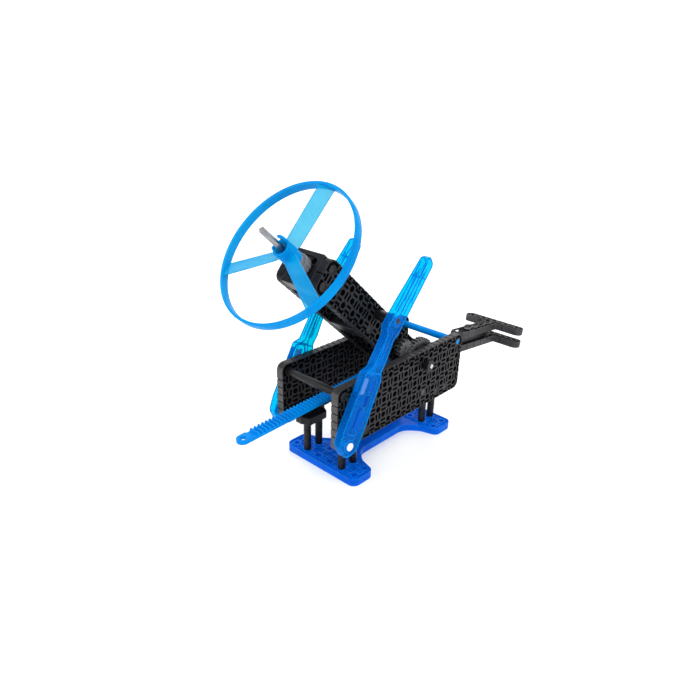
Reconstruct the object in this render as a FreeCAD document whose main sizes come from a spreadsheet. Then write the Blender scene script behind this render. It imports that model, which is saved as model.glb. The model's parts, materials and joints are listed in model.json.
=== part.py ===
import FreeCAD, Part
import Sketcher
import math
import os
from FreeCAD import Vector, Placement, Rotation

# Hand-pulled rotor launcher built from half-inch-grid construction parts.
# A toothed rack with a T-handle is drawn through a box of perforated plates.
# It turns a cross axle, a three-to-one spur pair, a right-angle bevel pair and
# the shaft of a tilted plate arm, which throws a ringed three-blade propeller.
# Frame: origin under the middle of the base, +X toward the handle, +Z up.
# In names, front is -X, rear is +X, right is -Y and left is +Y.

os.makedirs("parts", exist_ok=True)
doc = FreeCAD.newDocument("rotor_launcher")
sheet = doc.addObject("Spreadsheet::Sheet", "Sizes")

SIZES = {
    # construction grid
    "pitch": 12.7, "wall": 6.35, "cols": 12, "rows": 4, "arm_rows": 2,
    "hole_rad": 2.3, "pin_rad": 2.25, "plate_round": 5.6,
    # box, base, posts and bars
    "box_wide": 63.5, "plate_foot": 33.75, "base_thick": 6.35,
    "base_long": 127.0, "base_wide": 76.2, "waist_half": 11.5,
    "post_rad": 3.0, "post_tall": 25.4, "tenon_rad": 2.2, "bar_rad": 3.0,
    "shoe_long": 20.0, "shoe_tall": 14.8, "panel_deep": 1.6,
    # tilted arm
    "arm_tilt": 42.0, "arm_gap": 25.4,
    # axles, collars and gears
    "axle_side": 3.175, "cap_rad": 4.4, "cap_long": 5.1, "collar_rad": 7.3,
    "modul": 1.058333, "press_deg": 20.0,
    # rack
    "rack_wide": 9.5, "rack_body": 1.7, "rack_add": 0.70, "rack_ded": 1.30,
    "rack_tilt": 2.1, "tail_tilt": 6.7,
    # propeller
    "rotor_rad": 51.9, "band_thick": 2.1, "band_tall": 6.0,
    "hub_rad": 6.35, "hub_bore": 2.4,
    "blade_chord": 11.3, "blade_thick": 1.5, "blade_pitch": 20.0,
    # handles and coupler
    "handle_wide": 63.5, "handle_long": 76.2, "coupler_wide": 6.4, "coupler_tall": 6.1,
}
for line, (alias, number) in enumerate(SIZES.items(), 1):
    sheet.set("A%d" % line, alias)
    sheet.set("B%d" % line, str(number))
    sheet.setAlias("B%d" % line, alias)
doc.recompute()


def size(alias):
    return float(sheet.get(alias))


PITCH = size("pitch")
WALL = size("wall")
COLS = int(size("cols"))
WIDE = size("box_wide")
FOOT = size("plate_foot")
HOLE_RAD = size("hole_rad")
FIT = 0.02                      # gap left between parts that touch
UP = Vector(0, 0, 1)
ORIGIN = Vector()


# ---------------------------------------------------------------- places and turns
def at(x, y, z):
    """Point given from the right plate's lower front outer corner."""
    return Vector(x - COLS / 2 * PITCH, y - WIDE / 2, z + FOOT)


def beside(point, y):
    """The point moved across to y, measured from the right plate's outer face."""
    return Vector(point.x, y - WIDE / 2, point.z)


def both_sides(inset):
    """y and inward direction at an inset from each outer face of the box."""
    return (inset, 1), (WIDE - inset, -1)


def about_y(degrees):
    return Rotation(Vector(0, 1, 0), degrees)


ARM_TILT = size("arm_tilt")
TILT_RAD = math.radians(ARM_TILT)
DRAW = Vector(-math.cos(TILT_RAD), 0, math.sin(TILT_RAD))     # up the arm
LIFT = Vector(math.sin(TILT_RAD), 0, math.cos(TILT_RAD))      # to the arm's top side
LOWER_AXLE = at(8 * PITCH, WIDE / 2, 3 * PITCH)
UPPER_AXLE = LOWER_AXLE + DRAW * (2 * PITCH)
ARM_TIP = LOWER_AXLE + DRAW * (11 * PITCH) + LIFT * PITCH     # upper end, top side

STAND = Rotation(Vector(1, 0, 0), 90)      # local y up, local z to -Y
LAY = Rotation(Vector(1, 0, 0), -90)       # local z to +Y, local y down
SHAFT_TURN = about_y(ARM_TILT - 90)        # local z up the arm, local x to its top side
RACK_TURN = about_y(-size("rack_tilt"))
HANDLE_TURN = about_y(size("tail_tilt"))
RACK_UP = RACK_TURN.multVec(UP)


def arm_point(steps, drop):
    """Point on the arm, in pitches down from its tip and below its top side."""
    return ARM_TIP - DRAW * (PITCH * steps) - LIFT * (PITCH * drop)


# ---------------------------------------------------------------- document helpers
nodes = []


def keep(obj, label):
    """Mark an object as a finished piece to be exported."""
    obj.Label = label
    nodes.append(obj)
    return obj


def bind(obj, **expressions):
    for prop, by in expressions.items():
        obj.setExpression(prop, str(by))


def new_body(label, base, turn):
    body = doc.addObject("PartDesign::Body", label)
    body.Placement = Placement(base, turn)
    return keep(body, label)


def new_sketch(body, plane="XY_Plane", offset=0.0):
    sketch = body.newObject("Sketcher::SketchObject", "Sketch")
    support = [part for part in body.Origin.OriginFeatures if part.Role == plane][0]
    sketch.AttachmentSupport = [(support, "")]
    sketch.MapMode = "FlatFace"
    if offset:
        sketch.AttachmentOffset = Placement(Vector(0, 0, offset), Rotation())
    return sketch


def rectangle(body, long_by, wide_by, length, width, x0=0.0, y0=0.0):
    sketch = new_sketch(body)
    corners = [Vector(x0, y0, 0), Vector(x0 + length, y0, 0),
               Vector(x0 + length, y0 + width, 0), Vector(x0, y0 + width, 0)]
    for i in range(4):
        sketch.addGeometry(Part.LineSegment(corners[i], corners[(i + 1) % 4]), False)
    for i in range(4):
        sketch.addConstraint(Sketcher.Constraint("Coincident", i, 2, (i + 1) % 4, 1))
    for i, way in ((0, "Horizontal"), (2, "Horizontal"), (1, "Vertical"), (3, "Vertical")):
        sketch.addConstraint(Sketcher.Constraint(way, i))
    n = sketch.addConstraint(Sketcher.Constraint("DistanceX", 0, 1, 0, 2, length))
    sketch.setExpression("Constraints[%d]" % n, long_by)
    n = sketch.addConstraint(Sketcher.Constraint("DistanceY", 1, 1, 1, 2, width))
    sketch.setExpression("Constraints[%d]" % n, wide_by)
    if x0 == 0 and y0 == 0:
        sketch.addConstraint(Sketcher.Constraint("Coincident", 0, 1, -1, 1))
    else:
        sketch.addConstraint(Sketcher.Constraint("DistanceX", -1, 1, 0, 1, x0))
        sketch.addConstraint(Sketcher.Constraint("DistanceY", -1, 1, 0, 1, y0))
    return sketch


def holes(body, centres, plane="XY_Plane"):
    """Sketch of grid holes."""
    sketch = new_sketch(body, plane)
    for i, (x, y) in enumerate(centres):
        sketch.addGeometry(Part.Circle(Vector(x, y, 0), UP, HOLE_RAD), False)
        sketch.addConstraint(Sketcher.Constraint("DistanceX", -1, 1, i, 3, x))
        sketch.addConstraint(Sketcher.Constraint("DistanceY", -1, 1, i, 3, y))
        n = sketch.addConstraint(Sketcher.Constraint("Radius", i, HOLE_RAD))
        sketch.setExpression("Constraints[%d]" % n, "Sizes.hole_rad")
    return sketch


def rounded(points):
    """Closed outline of lines and tangent arcs from (x, y, corner radius)."""
    corners = []
    for i, (x, y, radius) in enumerate(points):
        corner = Vector(x, y, 0)
        if radius <= 0:
            corners.append((corner, None, corner))
            continue
        last_x, last_y, _ = points[i - 1]
        next_x, next_y, _ = points[(i + 1) % len(points)]
        to_last = Vector(last_x, last_y, 0) - corner
        to_next = Vector(next_x, next_y, 0) - corner
        longest = 0.49 * min(to_last.Length, to_next.Length)
        to_last.normalize()
        to_next.normalize()
        half = math.acos(to_last.dot(to_next)) / 2
        trim = min(radius / math.tan(half), longest)
        arc_rad = trim * math.tan(half)
        inward = to_last + to_next
        inward.normalize()
        centre = corner + inward * (arc_rad / math.sin(half))
        corners.append((corner + to_last * trim, centre - inward * arc_rad,
                        corner + to_next * trim))
    edges = []
    for i, (start, middle, end) in enumerate(corners):
        if middle is not None:
            edges.append(Part.Arc(start, middle, end))
        following = corners[(i + 1) % len(corners)][0]
        if end.distanceToPoint(following) > 1e-5:
            edges.append(Part.LineSegment(end, following))
    return edges


def outline(body, points, offset=0.0):
    sketch = new_sketch(body, offset=offset)
    for edge in rounded(points):
        sketch.addGeometry(edge, False)
    return sketch


def pad(body, sketch, length_by, reverse=False):
    feature = body.newObject("PartDesign::Pad", "Pad")
    feature.Profile = sketch
    bind(feature, Length=length_by)
    feature.Reversed = reverse
    sketch.Visibility = False
    body.Tip = feature
    doc.recompute()
    return feature


def pocket(body, sketch, depth_by=None, reverse=True, midplane=False):
    """Cut to a depth, or right through when none is given; reversed means upward."""
    feature = body.newObject("PartDesign::Pocket", "Pocket")
    feature.Profile = sketch
    if depth_by is None:
        feature.Type = 1
    else:
        bind(feature, Length=depth_by)
    feature.Reversed = reverse
    feature.Midplane = midplane
    sketch.Visibility = False
    before = body.Shape.Volume
    body.Tip = feature
    doc.recompute()
    if not feature.Shape.Volume < before - 1e-6:
        raise RuntimeError("pocket cut nothing in " + body.Label)
    return feature


def cross_holes(body, centres):
    """Holes along the body's y, with centres in its x-z plane."""
    pocket(body, holes(body, centres, "XZ_Plane"), reverse=False, midplane=True)


def hole_rows(body, centres, length_by, count):
    """Through holes, repeated along the body's x."""
    sketch = holes(body, centres)
    feature = pocket(body, sketch)
    row = body.newObject("PartDesign::LinearPattern", "Row")
    row.Originals = [feature]
    row.Direction = (sketch, ["H_Axis"])
    bind(row, Length=length_by)
    row.Occurrences = count
    body.Tip = row
    doc.recompute()


def round_upright(body, feature):
    """Round the edges that stand along the body's z."""
    names = []
    for i, edge in enumerate(feature.Shape.Edges, 1):
        if len(edge.Vertexes) == 2:
            start, end = (vertex.Point for vertex in edge.Vertexes)
            if abs(start.x - end.x) < 1e-6 and abs(start.y - end.y) < 1e-6:
                names.append("Edge%d" % i)
    fillet = body.newObject("PartDesign::Fillet", "Round")
    fillet.Base = (feature, names)
    bind(fillet, Radius="Sizes.plate_round")
    body.Tip = fillet
    doc.recompute()


def grid_plate(label, base, turn, rows_alias):
    """Perforated flat plate: square grid of holes and a half-step grid between."""
    rows = int(size(rows_alias))
    body = new_body(label, base, turn)
    sketch = rectangle(body, "Sizes.pitch * Sizes.cols", "Sizes.pitch * Sizes." + rows_alias,
                       COLS * PITCH, rows * PITCH)
    round_upright(body, pad(body, sketch, "Sizes.wall"))
    hole_rows(body, [(PITCH / 2, PITCH / 2 + PITCH * j) for j in range(rows)],
              "Sizes.pitch * (Sizes.cols - 1)", COLS)
    hole_rows(body, [(PITCH, PITCH + PITCH * j) for j in range(rows - 1)],
              "Sizes.pitch * (Sizes.cols - 2)", COLS - 1)


def rod(base, axis, rad_by, long_by):
    cylinder = doc.addObject("Part::Cylinder", "rod")
    bind(cylinder, Radius=rad_by, Height=long_by)
    cylinder.Placement = Placement(base, Rotation(UP, axis))
    return cylinder


def block(base, turn, x_by, y_by, z_by):
    box = doc.addObject("Part::Box", "block")
    bind(box, Length=x_by, Width=y_by, Height=z_by)
    box.Placement = Placement(base, turn)
    return box


def join(parts):
    fuse = doc.addObject("Part::MultiFuse", "join")
    fuse.Shapes = parts
    fuse.Refine = True
    return fuse


def take(base, tool):
    cut = doc.addObject("Part::Cut", "take")
    cut.Base = base
    cut.Tool = tool
    cut.Refine = True
    return cut


def bunch(parts, label):
    """Separate solids exported as one piece."""
    compound = doc.addObject("Part::Compound", label)
    compound.Links = parts
    keep(compound, label)


def fixed(shape, label, base, turn):
    """Free shape for outlines no feature above can draw."""
    feature = doc.addObject("Part::Feature", label)
    feature.Shape = shape
    feature.Placement = Placement(base, turn)
    keep(feature, label)


# ---------------------------------------------------------------- box and base
POST_COLUMNS = [1.5 * PITCH, 2.5 * PITCH, 9.5 * PITCH, 10.5 * PITCH]
BRACKET_LOW = size("base_thick") + size("post_tall") - FOOT     # z of a bracket's underside


def side_plates():
    grid_plate("side_plate_right", at(0, WALL, 0), STAND, "rows")
    grid_plate("side_plate_left", at(0, WIDE, 0), STAND, "rows")


def base_plate():
    """Waisted plate; one quarter of its outline is mirrored into four."""
    half_long, half_wide = size("base_long") / 2, size("base_wide") / 2
    # x, y, corner radius
    quarter = [(half_long, half_wide, 6.0), (half_long - 21.5, half_wide, 6.0),
               (half_long - 25.6, half_wide - 14.5, 9.0),
               (half_long - 35.5, size("waist_half"), 15.0)]
    points = [(x, -y, r) for x, y, r in reversed(quarter)]
    points += quarter
    points += [(-x, y, r) for x, y, r in reversed(quarter)]
    points += [(-x, -y, r) for x, y, r in quarter]
    body = new_body("base_plate", ORIGIN, Rotation())
    pad(body, outline(body, points), "Sizes.base_thick")
    ends = [(PITCH * (i - 4.5), PITCH * (j - 2.5)) for i in (0, 1, 8, 9) for j in range(6)]
    pocket(body, holes(body, ends))
    pocket(body, holes(body, [(PITCH * (i - 2.5), 0.0) for i in range(6)]))


def base_posts():
    """Posts with a tenon into the base and one into a bracket."""
    posts = []
    for x in POST_COLUMNS:
        for y in (PITCH, WIDE - PITCH):
            spot = at(x, y, -FOOT)
            foot = spot + UP * size("base_thick")
            posts.append(join([
                rod(foot, UP, "Sizes.post_rad", "Sizes.post_tall"),
                rod(spot + UP * 0.15, UP, "Sizes.tenon_rad", "Sizes.base_thick"),
                rod(foot + UP * size("post_tall"), UP, "Sizes.tenon_rad", "Sizes.wall - 0.9"),
            ]))
    bunch(posts, "base_posts")


def bracket(label, x0, left):
    """Angle bracket two pitches long, its upright against the side plate."""
    length = 2 * PITCH
    if left:
        corner = at(x0 + length, WIDE - WALL - FIT, BRACKET_LOW)
    else:
        corner = at(x0, WALL + FIT, BRACKET_LOW)
    body = new_body(label, corner, Rotation(UP, 180 if left else 0))
    shelf = [(0, 0, 0), (length, 0, 0), (length, 5.0, 0), (length - 3.5, PITCH, 2.5),
             (3.5, PITCH, 2.5), (0, 5.0, 0)]
    pad(body, outline(body, shelf), "Sizes.wall - 0.5")
    upright = [(0, 0, 0), (length, 0, 0), (length, WALL, 0), (0, WALL, 0)]
    pad(body, outline(body, upright), "Sizes.pitch + 1.5")
    columns = (PITCH / 2, 3 * PITCH / 2)
    # blind holes from below for the post tenons, cross holes for the side pins
    pocket(body, holes(body, [(x, PITCH - WALL - FIT) for x in columns]), "Sizes.wall - 0.8")
    cross_holes(body, [(x, WALL - BRACKET_LOW) for x in columns])


def brackets():
    for side in ("right", "left"):
        bracket("bracket_front_" + side, PITCH, side == "left")
        bracket("bracket_rear_" + side, 9 * PITCH, side == "left")


def bracket_pins():
    bunch([rod(at(x, y, PITCH / 2), Vector(0, way, 0), "Sizes.pin_rad", "2 * Sizes.wall - 0.5")
           for x in POST_COLUMNS for y, way in both_sides(0.3)], "bracket_pins")


# ---------------------------------------------------------------- cross bars
def crossbar(x, z):
    """Bar between the side plates on a thinner core that enters their holes."""
    across = Vector(0, 1, 0)
    return [rod(at(x, WALL + FIT, z), across, "Sizes.bar_rad",
                "Sizes.box_wide - 2 * Sizes.wall - %g" % (2 * FIT)),
            rod(at(x, 0.15, z), across, "Sizes.pin_rad", "Sizes.box_wide - 0.3")]


def crossbars():
    keep(join(crossbar(PITCH / 2, 3.5 * PITCH)), "front_crossbar")
    keep(join(crossbar(11.5 * PITCH, 3.5 * PITCH)), "rear_crossbar")


def rack_guide():
    """Fixed shoe under the rack, below the lower cross axle, on its own bar."""
    rack_low = PITCH / 2 + size("rack_ded") + size("rack_body")
    gap = 0.15
    corner = Vector(-12.0, -size("rack_wide") / 2, -rack_low - gap - size("shoe_tall"))
    shoe = block(LOWER_AXLE + RACK_TURN.multVec(corner), RACK_TURN,
                 "Sizes.shoe_long", "Sizes.rack_wide", "Sizes.shoe_tall")
    keep(join(crossbar(8 * PITCH, PITCH) + [shoe]), "rack_guide")


# ---------------------------------------------------------------- swept struts
STRUT_LOW = (PITCH / 2, PITCH / 2)
strut_top = arm_point(5.5, 0.5)
STRUT_HIGH = (strut_top.x + COLS / 2 * PITCH, strut_top.z - FOOT)

# x and z from the side plate's lower front corner, corner radius
STRUT = [
    (-4.2, 10.5, 6), (2.0, -3.6, 7), (14.5, -1.8, 8), (25.5, 19.0, 20), (38.9, 47.5, 6),
    (38.9, 54.5, 3), (43.5, 60.5, 4), (51.0, 75.8, 4), (55.8, 78.4, 5), (64.0, 88.8, 6),
    (92.2, 122.8, 5), (88.2, 129.6, 4), (83.2, 129.4, 3), (55.0, 101.8, 6), (42.0, 87.6, 4),
    (42.6, 82.0, 3), (28.6, 61.4, 2), (21.8, 60.0, 3), (0.0, 21.5, 15),
]
STRUT_PANELS = [
    [(3.2, 18.5, 4), (21.0, 13.5, 4), (35.6, 48.5, 3), (24.5, 56.0, 3)],
    [(59.5, 100.5, 2), (65.2, 95.0, 2), (86.5, 121.0, 3), (81.5, 125.0, 3)],
]


def struts():
    # the panels sink into the outer face, which is local top on the right, bottom on the left
    for label, y, panel_floor in (("strut_right", 0.0, WALL - size("panel_deep")),
                                  ("strut_left", WIDE + WALL, 0.0)):
        body = new_body(label, at(0, y, 0), STAND)
        pad(body, outline(body, STRUT), "Sizes.wall")
        pocket(body, holes(body, [STRUT_LOW, STRUT_HIGH]))
        for panel in STRUT_PANELS:
            pocket(body, outline(body, panel, panel_floor), "Sizes.panel_deep")


def strut_pins():
    lower = []
    for y, way in both_sides(-WALL):
        spot = at(STRUT_LOW[0], y, STRUT_LOW[1])
        head = rod(spot, Vector(0, -way, 0), "Sizes.post_rad", 0.9)
        stem = rod(spot, Vector(0, way, 0), "Sizes.pin_rad", "2 * Sizes.wall - 0.1")
        lower.append(join([head, stem]))
    bunch(lower, "strut_lower_pins")
    upper = []
    for y, way in both_sides(FIT):
        inward = Vector(0, way, 0)
        spot = at(STRUT_HIGH[0], y, STRUT_HIGH[1])
        spacer = rod(spot, inward, "Sizes.bar_rad + 0.8", "Sizes.pitch - %g" % (2 * FIT))
        core = rod(spot - inward * (WALL - 0.1), inward, "Sizes.pin_rad",
                   "Sizes.pitch + 2 * Sizes.wall - 0.4")
        upper.append(join([spacer, core]))
    bunch(upper, "strut_upper_standoffs")


# ---------------------------------------------------------------- tilted arm
BLOCK_STEPS = (0, 5)            # pitches from the arm's tip to the top of each block


def arm_plates():
    turn = about_y(ARM_TILT).multiply(STAND)
    for label, y in (("arm_plate_right", 1.5 * PITCH), ("arm_plate_left", 4 * PITCH)):
        grid_plate(label, beside(arm_point(0, 2), y), turn, "arm_rows")


def arm_blocks():
    """Bored blocks between the arm plates; each hangs below its local z = 0."""
    side = size("arm_gap") - 2 * FIT
    side_by = "Sizes.arm_gap - %g" % (2 * FIT)
    low, high = PITCH / 2, 1.5 * PITCH
    for label, steps in zip(("arm_end_block", "arm_bearing_block"), BLOCK_STEPS):
        body = new_body(label, arm_point(steps, 2), SHAFT_TURN)
        pad(body, rectangle(body, side_by, side_by, side, side, FIT, FIT - PITCH),
            "Sizes.pitch", reverse=True)
        bores = [(x, y) for x in (low, high) for y in (-PITCH / 2, PITCH / 2)] + [(PITCH, 0)]
        pocket(body, holes(body, bores), reverse=False)
        cross_holes(body, [(low, -PITCH / 2), (high, -PITCH / 2)])


def arm_block_pins():
    # the bearing block's upper hole holds the end of the strut standoff instead
    pins = []
    for steps, drop in ((0.5, 0.5), (0.5, 1.5), (5.5, 1.5)):
        for y, way in both_sides(PITCH + 0.3):
            pins.append(rod(beside(arm_point(steps, drop), y), Vector(0, way, 0),
                            "Sizes.pin_rad", "Sizes.wall + 3.2"))
    bunch(pins, "arm_block_pins")


# ---------------------------------------------------------------- gears
MODUL = size("modul")
SMALL_TEETH = 12
SMALL_PITCH_RAD = MODUL * SMALL_TEETH / 2
HALF_STEP = 180.0 / SMALL_TEETH         # turns a small gear from tooth to gap, degrees
THINNING = 0.16                         # taken off spur and rack teeth for backlash
KEY = 45.0                              # square rods stand on a corner
BORE = size("axle_side") + 0.06
GAP_Y = WALL + 0.45                     # spur pair, between right side plate and arm plate
SPUR_WIDE = 5.3


def polar(radius, degrees, z=0.0):
    turn = math.radians(degrees)
    return Vector(radius * math.cos(turn), radius * math.sin(turn), z)


def gear_wire(teeth, add, ded, thin, start, z=0.0, scale=1.0):
    """Closed involute outline with one tooth centred on angle start (degrees).

    The root lies inside the base circle, so radial lines finish each flank.
    """
    pitch_rad = MODUL * teeth / 2
    press = math.radians(size("press_deg"))
    base_rad = pitch_rad * math.cos(press)
    tip_rad, root_rad = pitch_rad + add, pitch_rad - ded
    radii = [base_rad + (tip_rad - base_rad) * k / 6 for k in range(7)]

    def involute(angle):
        return math.tan(angle) - angle

    def half(radius):
        """Half the tooth's angle at a radius."""
        at_pitch = math.pi / (2 * teeth) - thin / (2 * pitch_rad)
        return at_pitch + involute(press) - involute(math.acos(base_rad / radius))

    def point(radius, angle):
        return Vector(radius * math.cos(angle) * scale, radius * math.sin(angle) * scale, z)

    def arc(radius, first, middle, last):
        return Part.Arc(point(radius, first), point(radius, middle),
                        point(radius, last)).toShape()

    def curve(points):
        spline = Part.BSplineCurve()
        spline.interpolate(points)
        return spline.toShape()

    edges = []
    foot, tip = half(base_rad), half(tip_rad)
    for k in range(teeth):
        mid = math.radians(start) + 2 * math.pi * k / teeth
        following = math.radians(start) + 2 * math.pi * (k + 1) / teeth
        edges += [
            Part.makeLine(point(root_rad, mid - foot), point(base_rad, mid - foot)),
            curve([point(r, mid - half(r)) for r in radii]),
            arc(tip_rad, mid - tip, mid, mid + tip),
            curve([point(r, mid + half(r)) for r in reversed(radii)]),
            Part.makeLine(point(base_rad, mid + foot), point(root_rad, mid + foot)),
            arc(root_rad, mid + foot, (mid + following) / 2, following - foot),
        ]
    return Part.Wire(edges)


def square_bore(length, z=0.0):
    bore = Part.makeBox(BORE, BORE, length, Vector(-BORE / 2, -BORE / 2, z))
    bore.rotate(ORIGIN, UP, KEY)
    return bore


def spur(teeth, add, width, start):
    wire = gear_wire(teeth, add, 1.25 * MODUL, THINNING, start)
    return Part.Face(wire).extrude(Vector(0, 0, width))


def tube(outer, inner, height, z=0.0):
    base = Vector(0, 0, z)
    return Part.makeCylinder(outer, height, base).cut(Part.makeCylinder(inner, height, base))


def lay_angle(way):
    """Local angle of an x-z direction for a part laid along +Y."""
    return math.degrees(math.atan2(-way.z, way.x))


def rack_pinion():
    """Pinion with a sleeve; one of its gaps faces the rack."""
    width = 8.6
    pinion = spur(SMALL_TEETH, 0.95 * MODUL, width, lay_angle(RACK_UP * -1) + HALF_STEP)
    pinion.translate(Vector(0, 0, -width / 2))
    sleeve = Part.makeCylinder(4.2, 2 * PITCH - 0.5, Vector(0, 0, -PITCH + 0.25))
    pinion = pinion.fuse(sleeve).cut(square_bore(2 * PITCH, -PITCH))
    fixed(pinion.removeSplitter(), "rack_pinion", LOWER_AXLE, LAY)


def spur_gear_large():
    """Gear with a ring recess in each face; one tooth points at the upper axle."""
    recess = 1.2
    gear = spur(3 * SMALL_TEETH, 0.75 * MODUL, SPUR_WIDE, lay_angle(DRAW))
    for z in (0.0, SPUR_WIDE - recess):
        gear = gear.cut(tube(15.6, 6.0, recess, z))
    for k in range(6):
        gear = gear.cut(Part.makeCylinder(HOLE_RAD, SPUR_WIDE, polar(10.8, 60 * k + 15)))
    gear = gear.cut(square_bore(SPUR_WIDE))
    fixed(gear, "spur_gear_large", beside(LOWER_AXLE, GAP_Y), LAY)


def spur_gear_small():
    gear = spur(SMALL_TEETH, 0.95 * MODUL, SPUR_WIDE, lay_angle(DRAW * -1) + HALF_STEP)
    gear = gear.cut(square_bore(SPUR_WIDE))
    fixed(gear, "spur_gear_small", beside(UPPER_AXLE, GAP_Y), LAY)


def bevel(start, hub_end):
    """Mitre gear: apex at the origin, body on +z, teeth taper to the apex."""
    back, taper = SMALL_PITCH_RAD, 0.64
    front = back * taper
    add, ded, thin = 0.62 * MODUL, 0.98 * MODUL, 0.34
    outer = gear_wire(SMALL_TEETH, add, ded, thin, start, back)
    inner = gear_wire(SMALL_TEETH, add, ded, thin, start, front, front / back)
    teeth = Part.makeLoft([outer, inner], True, True)
    base = Vector(0, 0, back)
    gear = teeth.fuse(Part.makeCylinder(5.0, 1.2, base))
    gear = gear.fuse(Part.makeCylinder(4.2, hub_end - back, base))
    return gear.cut(square_bore(hub_end))


def bevel_gears():
    # the axle's bevel has its body to -Y and a tooth toward the shaft
    tooth_way = math.degrees(math.atan2(DRAW.z, DRAW.x))
    fixed(bevel(tooth_way, PITCH - 0.2), "bevel_gear_axle", UPPER_AXLE, STAND)
    # the shaft's bevel has a gap toward -Y
    fixed(bevel(-90.0 + HALF_STEP, 2 * PITCH - 0.2), "bevel_gear_shaft", UPPER_AXLE, SHAFT_TURN)


# ---------------------------------------------------------------- axles and collars
COLLAR_Y = WIDE - PITCH + 0.15          # gap between the left side plate and arm plate


def square_rod(centre, turn, long_by, side=size("axle_side")):
    """Square rod along the turn's z, corner up; centre is the middle of its lower end."""
    turned = turn.multiply(Rotation(UP, KEY))
    corner = centre + turned.multVec(Vector(-side / 2, -side / 2, 0))
    side_by = "Sizes.axle_side + %.4f" % (side - size("axle_side"))
    return block(corner, turned, side_by, side_by, long_by)


def axles():
    overhang = 6.2
    keep(square_rod(beside(LOWER_AXLE, -overhang), LAY, "Sizes.box_wide + %g" % (2 * overhang)),
         "axle_lower")
    keep(square_rod(beside(UPPER_AXLE, 8.5), LAY, 48.6), "axle_upper")
    # distances up the arm from the lower axle
    shaft_low, shaft_top = 2 * PITCH + 3.2, 184.0
    keep(square_rod(LOWER_AXLE + DRAW * shaft_low, SHAFT_TURN, "%.3f" % (shaft_top - shaft_low)),
         "rotor_shaft")


def collar(centre, turn, long_by="Sizes.cap_long"):
    ring = doc.addObject("Part::Cylinder", "ring")
    bind(ring, Radius="Sizes.cap_rad", Height=long_by)
    ring.Placement = Placement(centre, turn)
    return take(ring, square_rod(centre, turn, long_by, BORE))


def collars():
    gap = 0.1
    bunch([collar(beside(LOWER_AXLE, -size("cap_long") - gap), LAY),
           collar(beside(LOWER_AXLE, WIDE + gap), LAY),
           collar(beside(LOWER_AXLE, COLLAR_Y), LAY, "Sizes.wall - 0.3")],
          "axle_lower_collars")
    keep(collar(beside(UPPER_AXLE, COLLAR_Y), LAY), "axle_upper_collar")
    keep(collar(LOWER_AXLE + DRAW * (10 * PITCH - 5.5), SHAFT_TURN), "shaft_stop_collar")


# The launch collar and propeller are drawn up local z from the lower axle.
DOG_FACE = 149.9


def sector(inner, outer, middle, spread, low, high):
    """Ring piece between two radii and two heights, spread degrees each side of middle."""
    first, last = middle - spread, middle + spread

    def point(radius, angle):
        return polar(radius, angle, low)

    wire = Part.Wire([
        Part.makeLine(point(inner, first), point(outer, first)),
        Part.Arc(point(outer, first), point(outer, middle), point(outer, last)).toShape(),
        Part.makeLine(point(outer, last), point(inner, last)),
        Part.Arc(point(inner, last), point(inner, middle), point(inner, first)).toShape(),
    ])
    return Part.Face(wire).extrude(Vector(0, 0, high - low))


def launch_collar():
    """Notched flange, neck and two driving dogs."""
    low, flange = 11 * PITCH + 0.3, 6.0
    body = Part.makeCylinder(size("collar_rad"), flange, Vector(0, 0, low))
    neck = Part.makeCylinder(5.2, DOG_FACE - 1.0 - low - flange, Vector(0, 0, low + flange))
    body = body.fuse(neck)
    for turn in (0, 180):
        body = body.fuse(sector(3.1, 4.9, turn, 20, DOG_FACE - 1.1, DOG_FACE + 1.6))
    for k in range(12):
        body = body.cut(Part.makeCylinder(0.7, flange, polar(7.55, 30 * k, low)))
    body = body.cut(square_bore(DOG_FACE - low + 4, low - 1))
    fixed(body, "launch_collar", LOWER_AXLE, SHAFT_TURN)


# ---------------------------------------------------------------- propeller
HUB_LOW, HUB_TOP, CLAW_TOP = 149.3, 164.0, 170.4
BAND_LOW = 153.7
SOCKET_RAD, SOCKET_FLOOR = 4.6, 157.0
# y and height above the hub's top
HOOK = [(-3.2, -0.6), (-3.2, 0.3), (-2.6, 1.6), (-1.0, 3.2), (1.0, 4.4), (2.3, 4.7),
        (2.9, 3.9), (2.3, 2.7), (2.5, 1.5), (3.8, 0.3), (3.8, -0.6)]


def shaft_hole():
    return Part.makeCylinder(size("hub_bore"), 20, Vector(0, 0, HUB_LOW - 1))


def socket(top):
    return Part.makeCylinder(SOCKET_RAD, top - SOCKET_FLOOR + 1, Vector(0, 0, SOCKET_FLOOR))


def propeller_hub():
    """Hub with a socket on top, a hook and a low lug on its rim, and dog slots below."""
    hub_rad = size("hub_rad")
    hub = Part.makeCylinder(hub_rad, HUB_TOP - HUB_LOW, Vector(0, 0, HUB_LOW))
    hub = hub.cut(socket(HUB_TOP))
    shell = tube(hub_rad, SOCKET_RAD, 8, HUB_TOP - 1)
    # the hook stands toward the arm's top side
    hook = Part.Face(Part.makePolygon([Vector(3.0, y, HUB_TOP + z) for y, z in HOOK + HOOK[:1]]))
    hub = hub.fuse(hook.extrude(Vector(4.5, 0, 0)).common(shell))
    # the lug is 105 degrees on from the hook
    hub = hub.fuse(sector(SOCKET_RAD, hub_rad, -255, 15, HUB_TOP - 0.6, HUB_TOP + 1.2))
    hub = hub.cut(shaft_hole())
    for turn in (0, 180):
        hub = hub.cut(sector(2.0, 5.2, turn, 32, HUB_LOW - 1, DOG_FACE + 2.0))
    return hub


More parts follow.
